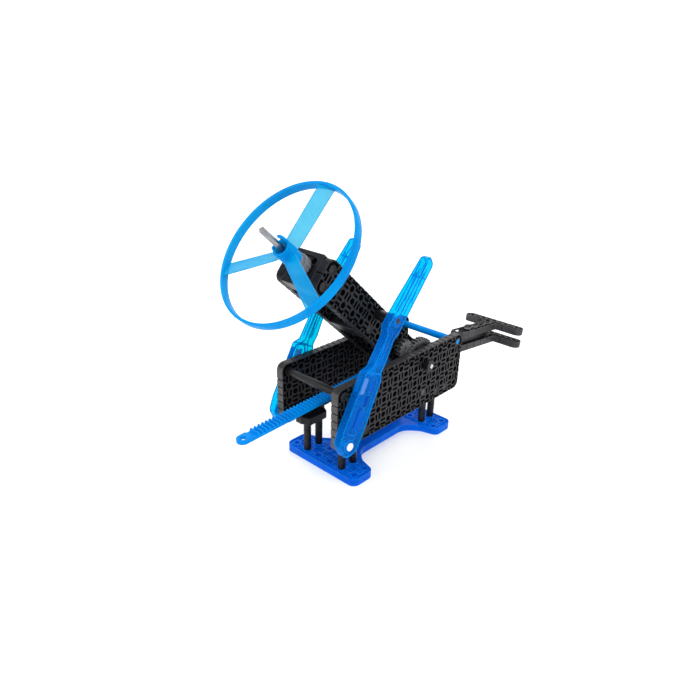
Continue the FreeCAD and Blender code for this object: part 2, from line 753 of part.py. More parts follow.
def blade_section(radius, chord, pitch):
    """Thin arched section square to local x, tilted so its +y edge is higher."""
    half, thick = chord / 2, size("blade_thick")
    drop = Vector(0, 0, -0.55)
    low_edge, high_edge = Vector(radius, -half, 0), Vector(radius, half, 0)
    crown = Vector(radius, 0, thick * 0.95)
    belly = Vector(radius, 0, -thick * 0.05)
    wire = Part.Wire([
        Part.Arc(low_edge, crown, high_edge).toShape(),
        Part.makeLine(high_edge, high_edge + drop),
        Part.Arc(high_edge + drop, belly + drop, low_edge + drop).toShape(),
        Part.makeLine(low_edge + drop, low_edge),
    ])
    wire.rotate(ORIGIN, Vector(1, 0, 0), pitch)
    return wire


def propeller():
    """Ring, hub and three slightly twisted blades."""
    outer, band, tall = size("rotor_rad"), size("band_thick"), size("band_tall")
    chord, pitch = size("blade_chord"), size("blade_pitch")
    hub = propeller_hub()
    ring = tube(outer, outer - band, tall, BAND_LOW)
    for k in range(3):
        root = blade_section(5.4, chord * 0.94, pitch + 2)
        tip = blade_section(outer - band / 2, chord * 1.05, pitch - 2)
        blade = Part.makeLoft([root, tip], True, True)
        blade.translate(Vector(0, 0, BAND_LOW + tall / 2))
        blade.rotate(ORIGIN, UP, 120 * k - 2)
        hub = hub.fuse(blade)
    rotor = ring.fuse(hub).cut(shaft_hole()).cut(socket(CLAW_TOP))
    fixed(rotor, "propeller", LOWER_AXLE, SHAFT_TURN)


# ---------------------------------------------------------------- rack
# Local x runs along the rack, local z up from the pitch line, origin under the pinion.
# Past the bend the strip tips down as a tail toward the handle.
ADD, DED = size("rack_add"), size("rack_ded")
RACK_LOW = -DED - size("rack_body")
RACK_MID, RACK_HALF = (ADD + RACK_LOW) / 2, (ADD - RACK_LOW) / 2
RACK_AT = LOWER_AXLE - RACK_UP * SMALL_PITCH_RAD
RACK_TIP = -160.0               # centre of the eye at the front end
BEND_X = 9.0
BEND_DEG = size("rack_tilt") + size("tail_tilt")
FIRST_TOOTH, LAST_TOOTH = -45, 2        # counted from the pinion
TAIL_TEETH, TAIL_FIRST = 18, 3.2        # number, and place of the first
LAP, LAP_HOLE, TAIL_END = 66.0, 73.0, 80.0      # half-thickness lap, along the tail


def tail(x, z):
    """Rack point from x behind the bend and z from the strip's middle."""
    bend = math.radians(BEND_DEG)
    return (BEND_X + x * math.cos(bend) + z * math.sin(bend),
            RACK_MID - x * math.sin(bend) + z * math.cos(bend))


def rack_outline():
    step = math.pi * MODUL
    slope = math.tan(math.radians(size("press_deg")))
    half_tooth = step / 4 - THINNING / 2
    foot_half, top_half = half_tooth + DED * slope, half_tooth - ADD * slope

    def tooth(centre, foot, top):
        return [(centre - foot_half, foot), (centre - top_half, top),
                (centre + top_half, top), (centre + foot_half, foot)]

    start = FIRST_TOOTH * step
    eye_top = -DED + 0.9
    points = [(RACK_TIP, RACK_LOW), (RACK_TIP, eye_top), (start - 5.0, eye_top),
              (start - 4.0, -DED)]
    for k in range(FIRST_TOOTH, LAST_TOOTH + 1):
        points += tooth(k * step, -DED, ADD)
    tail_foot = RACK_HALF - ADD - DED
    tail_points = [(0.4, tail_foot)]
    for k in range(TAIL_TEETH):
        tail_points += tooth(TAIL_FIRST + k * step, tail_foot, RACK_HALF)
    tail_points += [(LAP - 1, tail_foot), (LAP, RACK_HALF), (TAIL_END, RACK_HALF),
                    (TAIL_END, 0.05), (LAP, 0.05), (LAP, -RACK_HALF), (0.0, -RACK_HALF)]
    return points + [tail(x, z) for x, z in tail_points]


def rack():
    half_wide = size("rack_wide") / 2
    points = rack_outline()
    polygon = Part.makePolygon([Vector(x, -half_wide, z) for x, z in points + points[:1]])
    strip = Part.Face(polygon).extrude(Vector(0, 2 * half_wide, 0))
    eye = Part.makeCylinder(half_wide, size("rack_body") + 0.9, Vector(RACK_TIP, 0, RACK_LOW))
    strip = strip.fuse(eye)
    strip = strip.cut(Part.makeCylinder(HOLE_RAD, 20, Vector(RACK_TIP, 0, RACK_LOW - 5)))
    lap_hole = Part.makeCylinder(HOLE_RAD, 20, Vector(0, 0, -10))
    lap_hole.rotate(ORIGIN, Vector(0, 1, 0), BEND_DEG)
    x, z = tail(LAP_HOLE, 0)
    lap_hole.translate(Vector(x, 0, z))
    fixed(strip.cut(lap_hole), "rack", RACK_AT, RACK_TURN)


# ---------------------------------------------------------------- T-handles
BEND_AT = RACK_AT + RACK_TURN.multVec(Vector(BEND_X, 0, RACK_MID))
HANDLE_START = 81.8             # along the tail
COUPLER_HOLES = [HANDLE_START + 1.5 * PITCH, HANDLE_START + 2.5 * PITCH]
HANDLE_UP = HANDLE_TURN.multVec(UP)


def on_tail(x, y, z):
    return BEND_AT + HANDLE_TURN.multVec(Vector(x, y, z))


def handles():
    """Two T-plates, above and below the coupler."""
    length, half_wide, half_stem = size("handle_long"), size("handle_wide") / 2, PITCH / 2
    inner = length - PITCH
    right = [(0, -half_stem, 2.2), (inner, -half_stem, 1.5), (inner, -half_wide, 5.4),
             (length, -half_wide, 5.4)]
    left = [(x, -y, r) for x, y, r in reversed(right)]
    for label, z in (("handle_upper", WALL / 2), ("handle_lower", -1.5 * WALL)):
        body = new_body(label, on_tail(HANDLE_START, 0, z), HANDLE_TURN)
        pad(body, outline(body, right + left), "Sizes.wall")
        hole_rows(body, [(1.5 * PITCH, 0.0)], "Sizes.pitch * 3", 4)
        pocket(body, holes(body, [(length - PITCH / 2, PITCH * k) for k in range(-2, 3)]))
        # open window in the stem's first pitch, under a thin rail along its left edge
        window = [(1.5, -1.25, 0), (13.5, -1.25, 0), (13.5, 4.85, 0), (1.5, 4.85, 0)]
        pocket(body, outline(body, window))
        under_rail = [(1.5, 4.8, 0), (13.5, 4.8, 0), (13.5, 6.6, 0), (1.5, 6.6, 0)]
        pocket(body, outline(body, under_rail), "Sizes.wall - 1.4")


def rack_coupler():
    """Bar between the two handle stems, lapped under the end of the strip."""
    gap = 0.4
    y, z = -size("coupler_wide") / 2, -size("coupler_tall") / 2
    bar = join([
        block(on_tail(LAP + gap, y, z), HANDLE_TURN, 20, "Sizes.coupler_wide", 3.0),
        block(on_tail(TAIL_END + gap, y, z), HANDLE_TURN, 52,
              "Sizes.coupler_wide", "Sizes.coupler_tall"),
    ])
    bores = [rod(on_tail(x, 0, -5), HANDLE_UP, "Sizes.hole_rad", 10)
             for x in [LAP_HOLE] + COUPLER_HOLES]
    keep(take(bar, join(bores)), "rack_coupler")


def handle_pins():
    pins = [rod(on_tail(LAP_HOLE, 0, -3.0), HANDLE_UP, "Sizes.pin_rad", 4.75)]
    for x in COUPLER_HOLES:
        pins.append(rod(on_tail(x, 0, -1.5 * WALL + 0.2), HANDLE_UP,
                        "Sizes.pin_rad", "3 * Sizes.wall - 0.4"))
    bunch(pins, "handle_pins")


# ---------------------------------------------------------------- build, check and write
for build in (side_plates, base_plate, base_posts, brackets, bracket_pins, crossbars,
              rack_guide, struts, strut_pins, arm_plates, arm_blocks, arm_block_pins,
              rack_pinion, spur_gear_large, spur_gear_small, bevel_gears, axles, collars,
              launch_collar, propeller, rack, handles, rack_coupler, handle_pins):
    build()
doc.recompute()

bad = [obj.Name + " state" for obj in doc.Objects
       if "Invalid" in obj.State or "Error" in obj.State]
for obj in nodes:
    if obj.Shape.isNull() or not obj.Shape.isValid() or not obj.Shape.Solids:
        bad.append(obj.Label + " shape")
if bad:
    raise RuntimeError("bad objects: " + ", ".join(bad))
for obj in nodes:
    obj.Shape.exportStep("parts/%s.step" % obj.Label)
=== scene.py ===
"""Rack-driven propeller launcher built from perforated plates, struts and gears.

+Z is up and the base rests on the floor, centred in X and Y. The upright plates and struts lie
in XZ planes. The rotor shaft leans in the XZ plane and carries the propeller at its upper end.
Piece outlines are in millimetres; `place` takes them to metres in the frame.
"""
import json
import math
import bmesh
import bpy
from mathutils import Matrix, Vector
from mathutils.geometry import tessellate_polygon


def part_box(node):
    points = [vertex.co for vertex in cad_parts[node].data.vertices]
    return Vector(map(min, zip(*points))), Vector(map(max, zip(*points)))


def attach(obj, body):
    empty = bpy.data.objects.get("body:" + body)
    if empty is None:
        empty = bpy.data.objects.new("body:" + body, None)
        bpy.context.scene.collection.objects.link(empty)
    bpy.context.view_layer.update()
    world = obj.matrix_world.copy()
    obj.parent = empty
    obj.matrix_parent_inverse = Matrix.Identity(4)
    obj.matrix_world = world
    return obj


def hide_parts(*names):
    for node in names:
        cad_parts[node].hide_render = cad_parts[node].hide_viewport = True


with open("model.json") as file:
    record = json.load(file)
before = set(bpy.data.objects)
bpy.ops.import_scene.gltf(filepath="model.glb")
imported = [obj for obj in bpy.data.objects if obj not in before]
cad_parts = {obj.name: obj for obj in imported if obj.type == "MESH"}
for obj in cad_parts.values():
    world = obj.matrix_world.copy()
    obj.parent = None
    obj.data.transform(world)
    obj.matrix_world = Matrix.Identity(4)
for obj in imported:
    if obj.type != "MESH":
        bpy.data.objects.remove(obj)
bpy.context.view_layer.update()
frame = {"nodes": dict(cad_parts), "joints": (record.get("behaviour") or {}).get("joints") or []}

# ------------------------------------------------------------------ driving dimensions, mm
MM = 0.001              # metres in a millimetre
PITCH = 12.7            # hole spacing
WALL = PITCH / 2        # plate thickness
HOLE_R = 2.3
SINK = 1.25             # depth of the recessed floor between the raised lines
# bottom and top of the raised lines on either face; each bites 0.05 into the floor
RELIEF_LEVELS = ((WALL - SINK - 0.05, WALL), (0.0, SINK + 0.05))
NOTCH_DEPTH, NOTCH_HALF = 0.6, 0.75     # grooves across the plates' rims

nodes = frame["nodes"]
scene = bpy.context.scene
spin = next(joint for joint in frame["joints"] if joint["name"] == "rotor_spin")

AXLE = Vector(spin["pos_m"])                                # lower axle, where the shaft starts
SHAFT_DIR = Vector(spin["axis"]).normalized()               # up the shaft
SHAFT_SIDE = Vector((SHAFT_DIR.z, 0, -SHAFT_DIR.x))         # across the shaft, in the XZ plane
STAND = Matrix.Rotation(math.radians(90), 4, "X")           # local y up, local z toward -Y
plate_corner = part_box("side_plate_right")[0]
PLATE_X, PLATE_Z = plate_corner.x, plate_corner.z           # origin of the strut outlines


# ------------------------------------------------------------------ shader nodes
def new_material(name):
    material = bpy.data.materials.new(name)
    material.use_nodes = True
    material.node_tree.nodes.clear()
    return material, material.node_tree


def add_node(tree, kind, inputs=(), **settings):
    """Node with its settings and inputs; an input given as a socket is linked."""
    node = tree.nodes.new("ShaderNode" + kind)
    for setting, value in settings.items():
        setattr(node, setting, value)
    for key, value in dict(inputs).items():
        if isinstance(value, bpy.types.NodeSocket):
            tree.links.new(value, node.inputs[key])
        else:
            node.inputs[key].default_value = value
    return node


# The helpers below return the output socket that the next node takes.
def object_coords(tree):
    return add_node(tree, "TexCoord").outputs["Object"]


def noise(tree, coords, scale, detail=4.0, rough=0.55, distortion=0.0):
    return add_node(tree, "TexNoise", {
        "Vector": coords, "Scale": scale, "Detail": detail,
        "Roughness": rough, "Distortion": distortion}).outputs["Fac"]


def ramp(tree, value, *stops):
    """Colour ramp through (position, colour) stops."""
    node = add_node(tree, "ValToRGB", {"Fac": value})
    for element, (position, colour) in zip(node.color_ramp.elements, stops):
        element.position = position
        element.color = (*colour, 1.0)
    return node.outputs["Color"]


def remap(tree, value, from_min, from_max, to_min, to_max):
    return add_node(tree, "MapRange", {
        "Value": value, "From Min": from_min, "From Max": from_max,
        "To Min": to_min, "To Max": to_max}).outputs["Result"]


def edge_mask(tree, radius, gain):
    """Rounded normal, and a mask that is 1 along edges and 0 on flats."""
    rounded = add_node(tree, "Bevel", {"Radius": radius}, samples=6).outputs["Normal"]
    true = add_node(tree, "NewGeometry").outputs["Normal"]
    dot = add_node(tree, "VectorMath", {0: rounded, 1: true}, operation="DOT_PRODUCT")
    return rounded, remap(tree, dot.outputs["Value"], 1.0, 1.0 - gain, 0.0, 1.0)


def mix_color(tree, factor, base, colour):
    """Base colour blended to a fixed colour; 6, 7 and output 2 are the colour sockets."""
    node = add_node(tree, "Mix", data_type="RGBA",
                    inputs={0: factor, 6: base, 7: (*colour, 1.0)})
    return node.outputs[2]


def bump_normal(tree, height, normal, strength, distance):
    return add_node(tree, "Bump", {"Strength": strength, "Distance": distance,
                                   "Height": height, "Normal": normal}).outputs["Normal"]


def see_through(tree, blotches, edge_lighting, solid, clear, tint):
    """Tinted clear layer over the solid one, thinner at grazing angles and along the painted
    edge highlight.
    """
    tone = ramp(tree, blotches, (0.3, tuple(c * 0.9 for c in tint)), (0.7, tint))
    glass = add_node(tree, "BsdfTransparent", {"Color": tone})
    facing_view = add_node(tree, "LayerWeight", {"Blend": 0.35}).outputs["Facing"]
    share = remap(tree, facing_view, 0.0, 1.0, clear, clear * 0.35)
    kept = add_node(tree, "Math", {0: share, 1: edge_lighting}, operation="SUBTRACT", use_clamp=True)
    return add_node(tree, "MixShader", {"Fac": kept.outputs["Value"], 1: solid,
                                        2: glass.outputs["BSDF"]}).outputs["Shader"]


def plastic(name, low, high, edge_light, rough=0.42, blotch=60.0, bump=0.12, edge_radius=0.0004,
            edge_gain=0.25, edge_light_strength=0.6, specular=0.5, coat=0.0, clear=0.0, tint=(1, 1, 1),
            painted_glow=0.0):
    """Moulded plastic, blotched from low to high, with a painted highlight along its edges.

    blotch is the noise scale and edge_radius is in metres. clear is the share of light let
    straight through, coloured by tint; the glow setting adds painted light, an emission in the
    plastic's colour.
    """
    material, tree = new_material(name)
    coords = object_coords(tree)
    blotches = noise(tree, coords, blotch, detail=5.0, rough=0.6)
    base = ramp(tree, blotches, (0.32, low), (0.68, high))
    rounded, mask = edge_mask(tree, edge_radius, edge_gain)
    # painted edge highlight, a painted edge shade where the edge colour is darker: edges blend
    # to the edge colour in patches
    patchiness = noise(tree, coords, blotch * 9.0, detail=6.0, rough=0.7, distortion=0.4)
    amount = remap(tree, patchiness, 0.3, 0.7, 0.35 * edge_light_strength, edge_light_strength)
    edge_lighting = add_node(tree, "Math", {0: mask, 1: amount}, operation="MULTIPLY").outputs["Value"]
    colour = mix_color(tree, edge_lighting, base, edge_light)
    grain = noise(tree, coords, 1600.0, rough=0.6)
    normal = bump_normal(tree, grain, rounded, strength=bump, distance=0.00012)
    roughness = remap(tree, patchiness, 0.25, 0.75, max(0.03, rough - 0.08), rough + 0.1)
    shader = {"Specular IOR Level": specular, "Coat Weight": coat, "Coat Roughness": 0.12,
              "Base Color": colour, "Roughness": roughness, "Normal": normal}
    # painted light: an emission in the plastic's own colour, though it is no lamp
    if painted_glow:
        shader.update({"Emission Strength": painted_glow, "Emission Color": colour})
    surface = add_node(tree, "BsdfPrincipled", shader).outputs["BSDF"]
    if clear:
        surface = see_through(tree, blotches, edge_lighting, surface, clear, tint)
    add_node(tree, "OutputMaterial", {"Surface": surface})
    return material


def steel(name, along, shade, corner):
    """Drawn steel with fine lines along the rod; corner is the colour of a painted reflection
    along its edges.
    """
    material, tree = new_material(name)
    coords = object_coords(tree)
    turn = Vector(along).normalized().to_track_quat("Z", "Y").inverted().to_euler()
    turned = add_node(tree, "Mapping", {"Vector": coords, "Rotation": turn})
    drawn = add_node(tree, "Mapping", {"Vector": turned.outputs["Vector"],
                                       "Scale": (5200.0, 5200.0, 90.0)})
    lines = noise(tree, drawn.outputs["Vector"], scale=1.0, detail=5.0, rough=0.5)
    tone = ramp(tree, lines, (0.3, tuple(0.5 * c for c in shade)), (0.7, shade))
    blotches = noise(tree, coords, scale=130.0)
    roughness = remap(tree, blotches, 0.3, 0.7, 0.2, 0.38)
    rounded, mask = edge_mask(tree, radius=0.00025, gain=0.25)
    normal = bump_normal(tree, lines, rounded, strength=0.15, distance=0.00005)
    # painted reflection: edges blend to the corner colour
    colour = mix_color(tree, mask, tone, corner)
    shader = add_node(tree, "BsdfPrincipled", {
        "Metallic": 1.0, "Base Color": colour, "Roughness": roughness, "Normal": normal})
    add_node(tree, "OutputMaterial", {"Surface": shader.outputs["BSDF"]})
    return material


# ------------------------------------------------------------------ materials
# painted edge highlight along the raised lines of the plates
FLAT_EDGE_LIGHT = dict(edge_radius=0.0002, edge_light_strength=0.5)     # raised lines of the plates
STRUT_CAST = dict(blotch=38.0, bump=0.03)               # large smooth blotches

BLACK = plastic(
    "black_plate", low=(0.0118, 0.0112, 0.0138), high=(0.0215, 0.0206, 0.0245),
    edge_light=(0.15, 0.146, 0.15), specular=0.16, **FLAT_EDGE_LIGHT)
# darker copies of the plate and edge plastics for the arm plates, painted shade
BLACK_ARM_SHADED = plastic(
    "black_arm_painted_shade", low=(0.0105, 0.011, 0.0145), high=(0.020, 0.0205, 0.026),
    edge_light=(0.09, 0.09, 0.10), specular=0.14, **FLAT_EDGE_LIGHT)
BLACK_SIDE = plastic(
    "black_edge", low=(0.017, 0.0165, 0.0185), high=(0.034, 0.0325, 0.036),
    edge_light=(0.13, 0.125, 0.13), rough=0.4, edge_light_strength=0.8, specular=0.16)
BLACK_ARM_EDGE_SHADED = plastic(
    "black_arm_edge_painted_shade", low=(0.007, 0.007, 0.0085), high=(0.015, 0.0145, 0.017),
    edge_light=(0.09, 0.085, 0.09), rough=0.4, edge_light_strength=0.8, specular=0.13)
GRIP = plastic(
    "black_grip", low=(0.034, 0.0335, 0.036), high=(0.062, 0.060, 0.065),
    edge_light=(0.19, 0.185, 0.19), rough=0.45, specular=0.18, **FLAT_EDGE_LIGHT)
GRIP_SIDE = plastic(
    "black_grip_edge", low=(0.026, 0.0255, 0.028), high=(0.050, 0.048, 0.053),
    edge_light=(0.15, 0.145, 0.15), rough=0.45, edge_light_strength=0.8, specular=0.18)
# near-black copy for recessed floors, relief walls and rim grooves, painted shade
BLACK_RECESS_SHADE = plastic(
    "black_recess_painted_shade", low=(0.0008, 0.0008, 0.001), high=(0.002, 0.002, 0.0024),
    edge_light=(0.009, 0.009, 0.009), rough=0.6, edge_radius=0.0003, edge_light_strength=0.2, specular=0.04)
BLACK_PIN = plastic(
    "black_pin", low=(0.004, 0.004, 0.005), high=(0.010, 0.0095, 0.011),
    edge_light=(0.06, 0.057, 0.06), rough=0.34, specular=0.25)
BLACK_BLOCK = plastic(
    "black_block", low=(0.004, 0.004, 0.0055), high=(0.010, 0.0095, 0.012),
    edge_light=(0.10, 0.098, 0.105), rough=0.34, edge_radius=0.0005, edge_light_strength=0.9, specular=0.2)
# lighter copy of the edge plastic for the side plates' front edges, painted light
BLACK_LIT = plastic(
    "black_front_edge_painted_light", low=(0.050, 0.047, 0.046), high=(0.085, 0.080, 0.078),
    edge_light=(0.20, 0.19, 0.18), rough=0.45, edge_light_strength=0.8, specular=0.2)
# the gear edges take a near-white painted highlight
GEAR = plastic(
    "gear_grey", low=(0.016, 0.018, 0.0195), high=(0.044, 0.049, 0.052),
    edge_light=(0.78, 0.80, 0.81), rough=0.4, edge_radius=0.00038, edge_light_strength=1.0)
COLLAR = plastic(
    "collar_grey", low=(0.15, 0.155, 0.17), high=(0.20, 0.205, 0.22),
    edge_light=(0.36, 0.36, 0.38), rough=0.34)
WHITE = plastic(
    "white_pin", low=(0.78, 0.78, 0.76), high=(0.88, 0.88, 0.86),
    edge_light=(0.95, 0.95, 0.94), rough=0.4, edge_light_strength=0.3)
STRUT_BLUE = plastic(
    "clear_blue_strut", low=(0.0, 0.14, 0.68), high=(0.0, 0.24, 0.86), edge_light=(0.0, 0.60, 0.96),
    rough=0.14, edge_radius=0.0006, edge_gain=0.2, edge_light_strength=0.7, specular=0.05,
    clear=0.80, tint=(0.02, 0.93, 1.0), painted_glow=0.035, **STRUT_CAST)
# darker, less clear copy of the strut plastic for ribs, the panel outline and two facets,
# painted shade
STRUT_RIB_SHADED = plastic(
    "rib_painted_shade", low=(0.0, 0.12, 0.62), high=(0.0, 0.20, 0.78), edge_light=(0.0, 0.40, 0.92),
    rough=0.16, edge_radius=0.0003, edge_gain=0.2, edge_light_strength=0.4, specular=0.05,
    clear=0.72, tint=(0.02, 0.78, 1.0), painted_glow=0.02, **STRUT_CAST)
# darker and lighter copies of the strut plastic for facets, painted shade and painted sheen
STRUT_SHADE = plastic(
    "painted_shade_facet", low=(0.0, 0.055, 0.36), high=(0.0, 0.08, 0.46), edge_light=(0.0, 0.3, 0.8),
    rough=0.2, edge_radius=0.0003, edge_light_strength=0.3, specular=0.03,
    clear=0.5, tint=(0.0, 0.45, 1.0), **STRUT_CAST)
STRUT_SHEEN = plastic(
    "painted_sheen_facet", low=(0.05, 0.20, 0.62), high=(0.09, 0.26, 0.70), edge_light=(0.15, 0.45, 0.85),
    rough=0.2, edge_radius=0.0003, edge_light_strength=0.4, specular=0.3,
    clear=0.35, tint=(0.4, 0.8, 1.0), painted_glow=0.08, **STRUT_CAST)
BASE_BLUE = plastic(
    "clear_blue_base", low=(0.0, 0.10, 0.60), high=(0.0, 0.16, 0.78), edge_light=(0.0, 0.40, 0.95),
    rough=0.2, blotch=35.0, bump=0.05, edge_radius=0.0005, edge_gain=0.2, edge_light_strength=0.8,
    coat=0.03, specular=0.08, clear=0.45, tint=(0.02, 0.46, 1.0), painted_glow=0.10)
RACK_BLUE = plastic(
    "rack_blue", low=(0.0, 0.17, 0.58), high=(0.0, 0.24, 0.70), edge_light=(0.0, 0.42, 0.88),
    rough=0.3, blotch=45.0, bump=0.08, edge_radius=0.0003, edge_light_strength=0.7, specular=0.04,
    painted_glow=0.03)
ROTOR_BLUE = plastic(
    "rotor_blue", low=(0.0, 0.21, 0.60), high=(0.0, 0.31, 0.72), edge_light=(0.0, 0.54, 0.84),
    rough=0.26, blotch=24.0, bump=0.04, edge_radius=0.0003, edge_light_strength=0.5, specular=0.03,
    clear=0.22, tint=(0.40, 0.92, 0.90), painted_glow=0.08)
ROTOR_THIN = plastic(
    "rotor_thin_blue", low=(0.0, 0.28, 0.68), high=(0.0, 0.35, 0.77), edge_light=(0.0, 0.15, 0.54),
    rough=0.22, blotch=22.0, bump=0.03, edge_radius=0.0005, edge_light_strength=0.85, coat=0.03,
    specular=0.12, clear=0.54, tint=(0.58, 0.95, 0.80), painted_glow=0.10)
# painted edge highlight on the cross axles, a near-black painted edge reflection on the shaft
AXLE_STEEL = steel("steel_cross", along=(0, 1, 0),
                   shade=(0.74, 0.74, 0.75), corner=(0.9, 0.9, 0.92))
SHAFT_STEEL = steel("steel_shaft", along=spin["axis"],
                    shade=(0.42, 0.41, 0.41), corner=(0.05, 0.045, 0.045))


# ------------------------------------------------------------------ flat outlines
def facing(loop, solid):
    """Material on the left of the walk: outer loops run anticlockwise, holes clockwise."""
    doubled_area = sum(p[0] * q[1] - q[0] * p[1] for p, q in zip(loop, loop[1:] + loop[:1]))
    return list(loop) if (doubled_area > 0) == solid else list(loop)[::-1]


def inset(loop, distance):
    """Each corner moved to the left of the walk by distance."""
    out = []
    for i, point in enumerate(loop):
        corner = Vector(point)
        arrive = corner - Vector(loop[i - 1])
        leave = Vector(loop[(i + 1) % len(loop)]) - corner
        if arrive.length < 1e-9 or leave.length < 1e-9:
            out.append(tuple(corner))
            continue
        arrive.normalize()
        leave.normalize()
        normal = Vector((-arrive.y, arrive.x))
        middle = normal + Vector((-leave.y, leave.x))
        if middle.length < 1e-6:
            out.append(tuple(corner + normal * distance))
            continue
        middle.normalize()
        out.append(tuple(corner + middle * (distance / max(0.5, middle.dot(normal)))))
    return out


def circle(x, y, radius, count=16, turn=0.0):
    angles = [turn + 2 * math.pi * k / count for k in range(count)]
    return [(x + radius * math.cos(a), y + radius * math.sin(a)) for a in angles]


def octagon(x, y, across_flats):
    return circle(x, y, across_flats / 2 / math.cos(math.pi / 8), 8, math.pi / 8)


def cell(x, y, width, height, cut):
    """Rectangle centred on x, y with its corners cut."""
    w, h = width / 2, height / 2
    return [(x + px, y + py) for px, py in
            ((w - cut, -h), (w, -h + cut), (w, h - cut), (w - cut, h),
             (-w + cut, h), (-w, h - cut), (-w, -h + cut), (-w + cut, -h))]


def bar(start, end, width):
    """Straight strip from start to end."""
    start, end = Vector(start), Vector(end)
    along = (end - start).normalized()
    out = Vector((-along.y, along.x)) * width / 2
    return [tuple(p) for p in (start + out, end + out, end - out, start - out)]


def round_loop(corners, steps=5):
    """Outline with each corner (x, y, radius) rounded by a tangent arc."""
    out = []
    for i, (x, y, radius) in enumerate(corners):
        corner = Vector((x, y))
        back = Vector(corners[i - 1][:2]) - corner
        ahead = Vector(corners[(i + 1) % len(corners)][:2]) - corner
        back_length, ahead_length = back.length, ahead.length
        back.normalize()
        ahead.normalize()
        half = math.acos(max(-1.0, min(1.0, back.dot(ahead)))) / 2
        if radius <= 0 or abs(math.pi / 2 - half) < 1e-4:
            out.append((x, y))
            continue
        # a short side limits the arc
        tangent = min(radius / math.tan(half), 0.49 * back_length, 0.49 * ahead_length)
        fitted = tangent * math.tan(half)
        centre = corner + (back + ahead).normalized() * (fitted / math.sin(half))
        spoke = corner + back * tangent - centre
        turn = spoke.angle_signed(corner + ahead * tangent - centre)
        for k in range(steps + 1):
            turned = spoke.copy()
            turned.rotate(Matrix.Rotation(-turn * k / steps, 2))
            out.append((centre.x + turned.x, centre.y + turned.y))
    clean = []
    for point in out:
        if not clean or math.dist(point, clean[-1]) > 1e-4:
            clean.append(point)
    if math.dist(clean[0], clean[-1]) < 1e-4:
        clean.pop()
    return clean


def edge_notched(points, step):
    """Straight runs along x or y get a shallow groove at every step from the origin."""
    out = []
    for i, point in enumerate(points):
        start, end = Vector(point), Vector(points[(i + 1) % len(points)])
        out.append(tuple(start))
        run = end - start
        if run.length < 4.0:
            continue
        axis = 0 if abs(run.x) > abs(run.y) else 1
        if abs(run[1 - axis]) > 1e-3:
            continue
        along = run.normalized()
        left = Vector((-along.y, along.x))
        low, high = sorted((start[axis], end[axis]))
        marks = [step * k for k in range(-30, 31) if low + 1.0 < step * k < high - 1.0]
        if run[axis] < 0:
            marks.reverse()
        for mark in marks:
            mid = start.copy()
            mid[axis] = mark
            for shift, depth in ((-1, 0), (-0.5, NOTCH_DEPTH), (0.5, NOTCH_DEPTH), (1, 0)):
                out.append(tuple(mid + along * NOTCH_HALF * shift + left * depth))
    return out


# ------------------------------------------------------------------ solids
def put(place, x, y, z):
    """Millimetre point through a matrix or a function, as metres."""
    return place(x, y, z) if callable(place) else place @ Vector((x * MM, y * MM, z * MM))


def bridge(mesh, lower, upper):
    """Quads between two rings of equal length."""
    for i in range(len(lower)):
        j = (i + 1) % len(lower)
        mesh.faces.new((lower[i], lower[j], upper[j], upper[i]))


def paint_from(mesh, first, material):
    mesh.faces.ensure_lookup_table()
    for face in mesh.faces[first:]:
        face.material_index = material


def sheet(mesh, outer, holes, low, high, soft, place, material=0):
    """Closed flat solid with holes from z low to high, its edges eased by soft."""
    first = len(mesh.faces)
    loops = [facing(outer, True)] + [facing(hole, False) for hole in holes]
    flats = [inset(loop, soft) if soft else loop for loop in loops]
    bottom, top = [], []
    for loop, flat in zip(loops, flats):
        levels = [(loop, low + soft), (loop, high - soft)]
        if soft:
            levels = [(flat, low), *levels, (flat, high)]
        rings = [[mesh.verts.new(put(place, x, y, z)) for x, y in pts] for pts, z in levels]
        for lower, upper in zip(rings, rings[1:]):
            bridge(mesh, lower, upper)
        bottom += rings[0]
        top += rings[-1]
    flats = [[Vector((x, y, 0)) for x, y in flat] for flat in flats]
    coords = [point for flat in flats for point in flat]
    for i, j, k in tessellate_polygon(flats):
        edge, other = coords[j] - coords[i], coords[k] - coords[i]
        cross = edge.x * other.y - edge.y * other.x
        if abs(cross) < 1e-9:
            continue
        if cross < 0:
            j, k = k, j
        # guards against the tessellation repeating a triangle
        try:
            mesh.faces.new((top[i], top[j], top[k]))
            mesh.faces.new((bottom[i], bottom[k], bottom[j]))
        except ValueError:
            pass
    if material:
        paint_from(mesh, first, material)


def turned_ring(radius, z, place, count):
    angles = [2 * math.pi * k / count for k in range(count)]
    return [(radius * math.cos(a), radius * math.sin(a), z) for a in angles]


def lathe(mesh, profile, place, count=24):
    """Closed turned piece from (radius, height) pairs, first and last on the axis."""
    rings = []
    for radius, z in profile:
        angles = [2 * math.pi * k / count for k in range(count if radius else 1)]
        rings.append([mesh.verts.new(put(place, radius * math.cos(a), radius * math.sin(a), z))
                      for a in angles])
    start, end = rings[0][0], rings[-1][0]
    for k in range(count):
        mesh.faces.new((start, rings[1][(k + 1) % count], rings[1][k]))
    for lower, upper in zip(rings[1:-2], rings[2:-1]):
        bridge(mesh, lower, upper)
    for k in range(count):
        mesh.faces.new((rings[-2][k], rings[-2][(k + 1) % count], end))


def ring_lathe(mesh, profile, place, count):
    """Closed turned ring from a closed loop of (radius, height) pairs."""
    angles = [2 * math.pi * k / count for k in range(count)]
    rows = [[mesh.verts.new(put(place, radius * math.cos(a), radius * math.sin(a), z))
             for radius, z in profile] for a in angles]
    for row, following in zip(rows, rows[1:] + rows[:1]):
        for i in range(len(profile)):
            j = (i + 1) % len(profile)
            mesh.faces.new((row[i], following[i], following[j], row[j]))


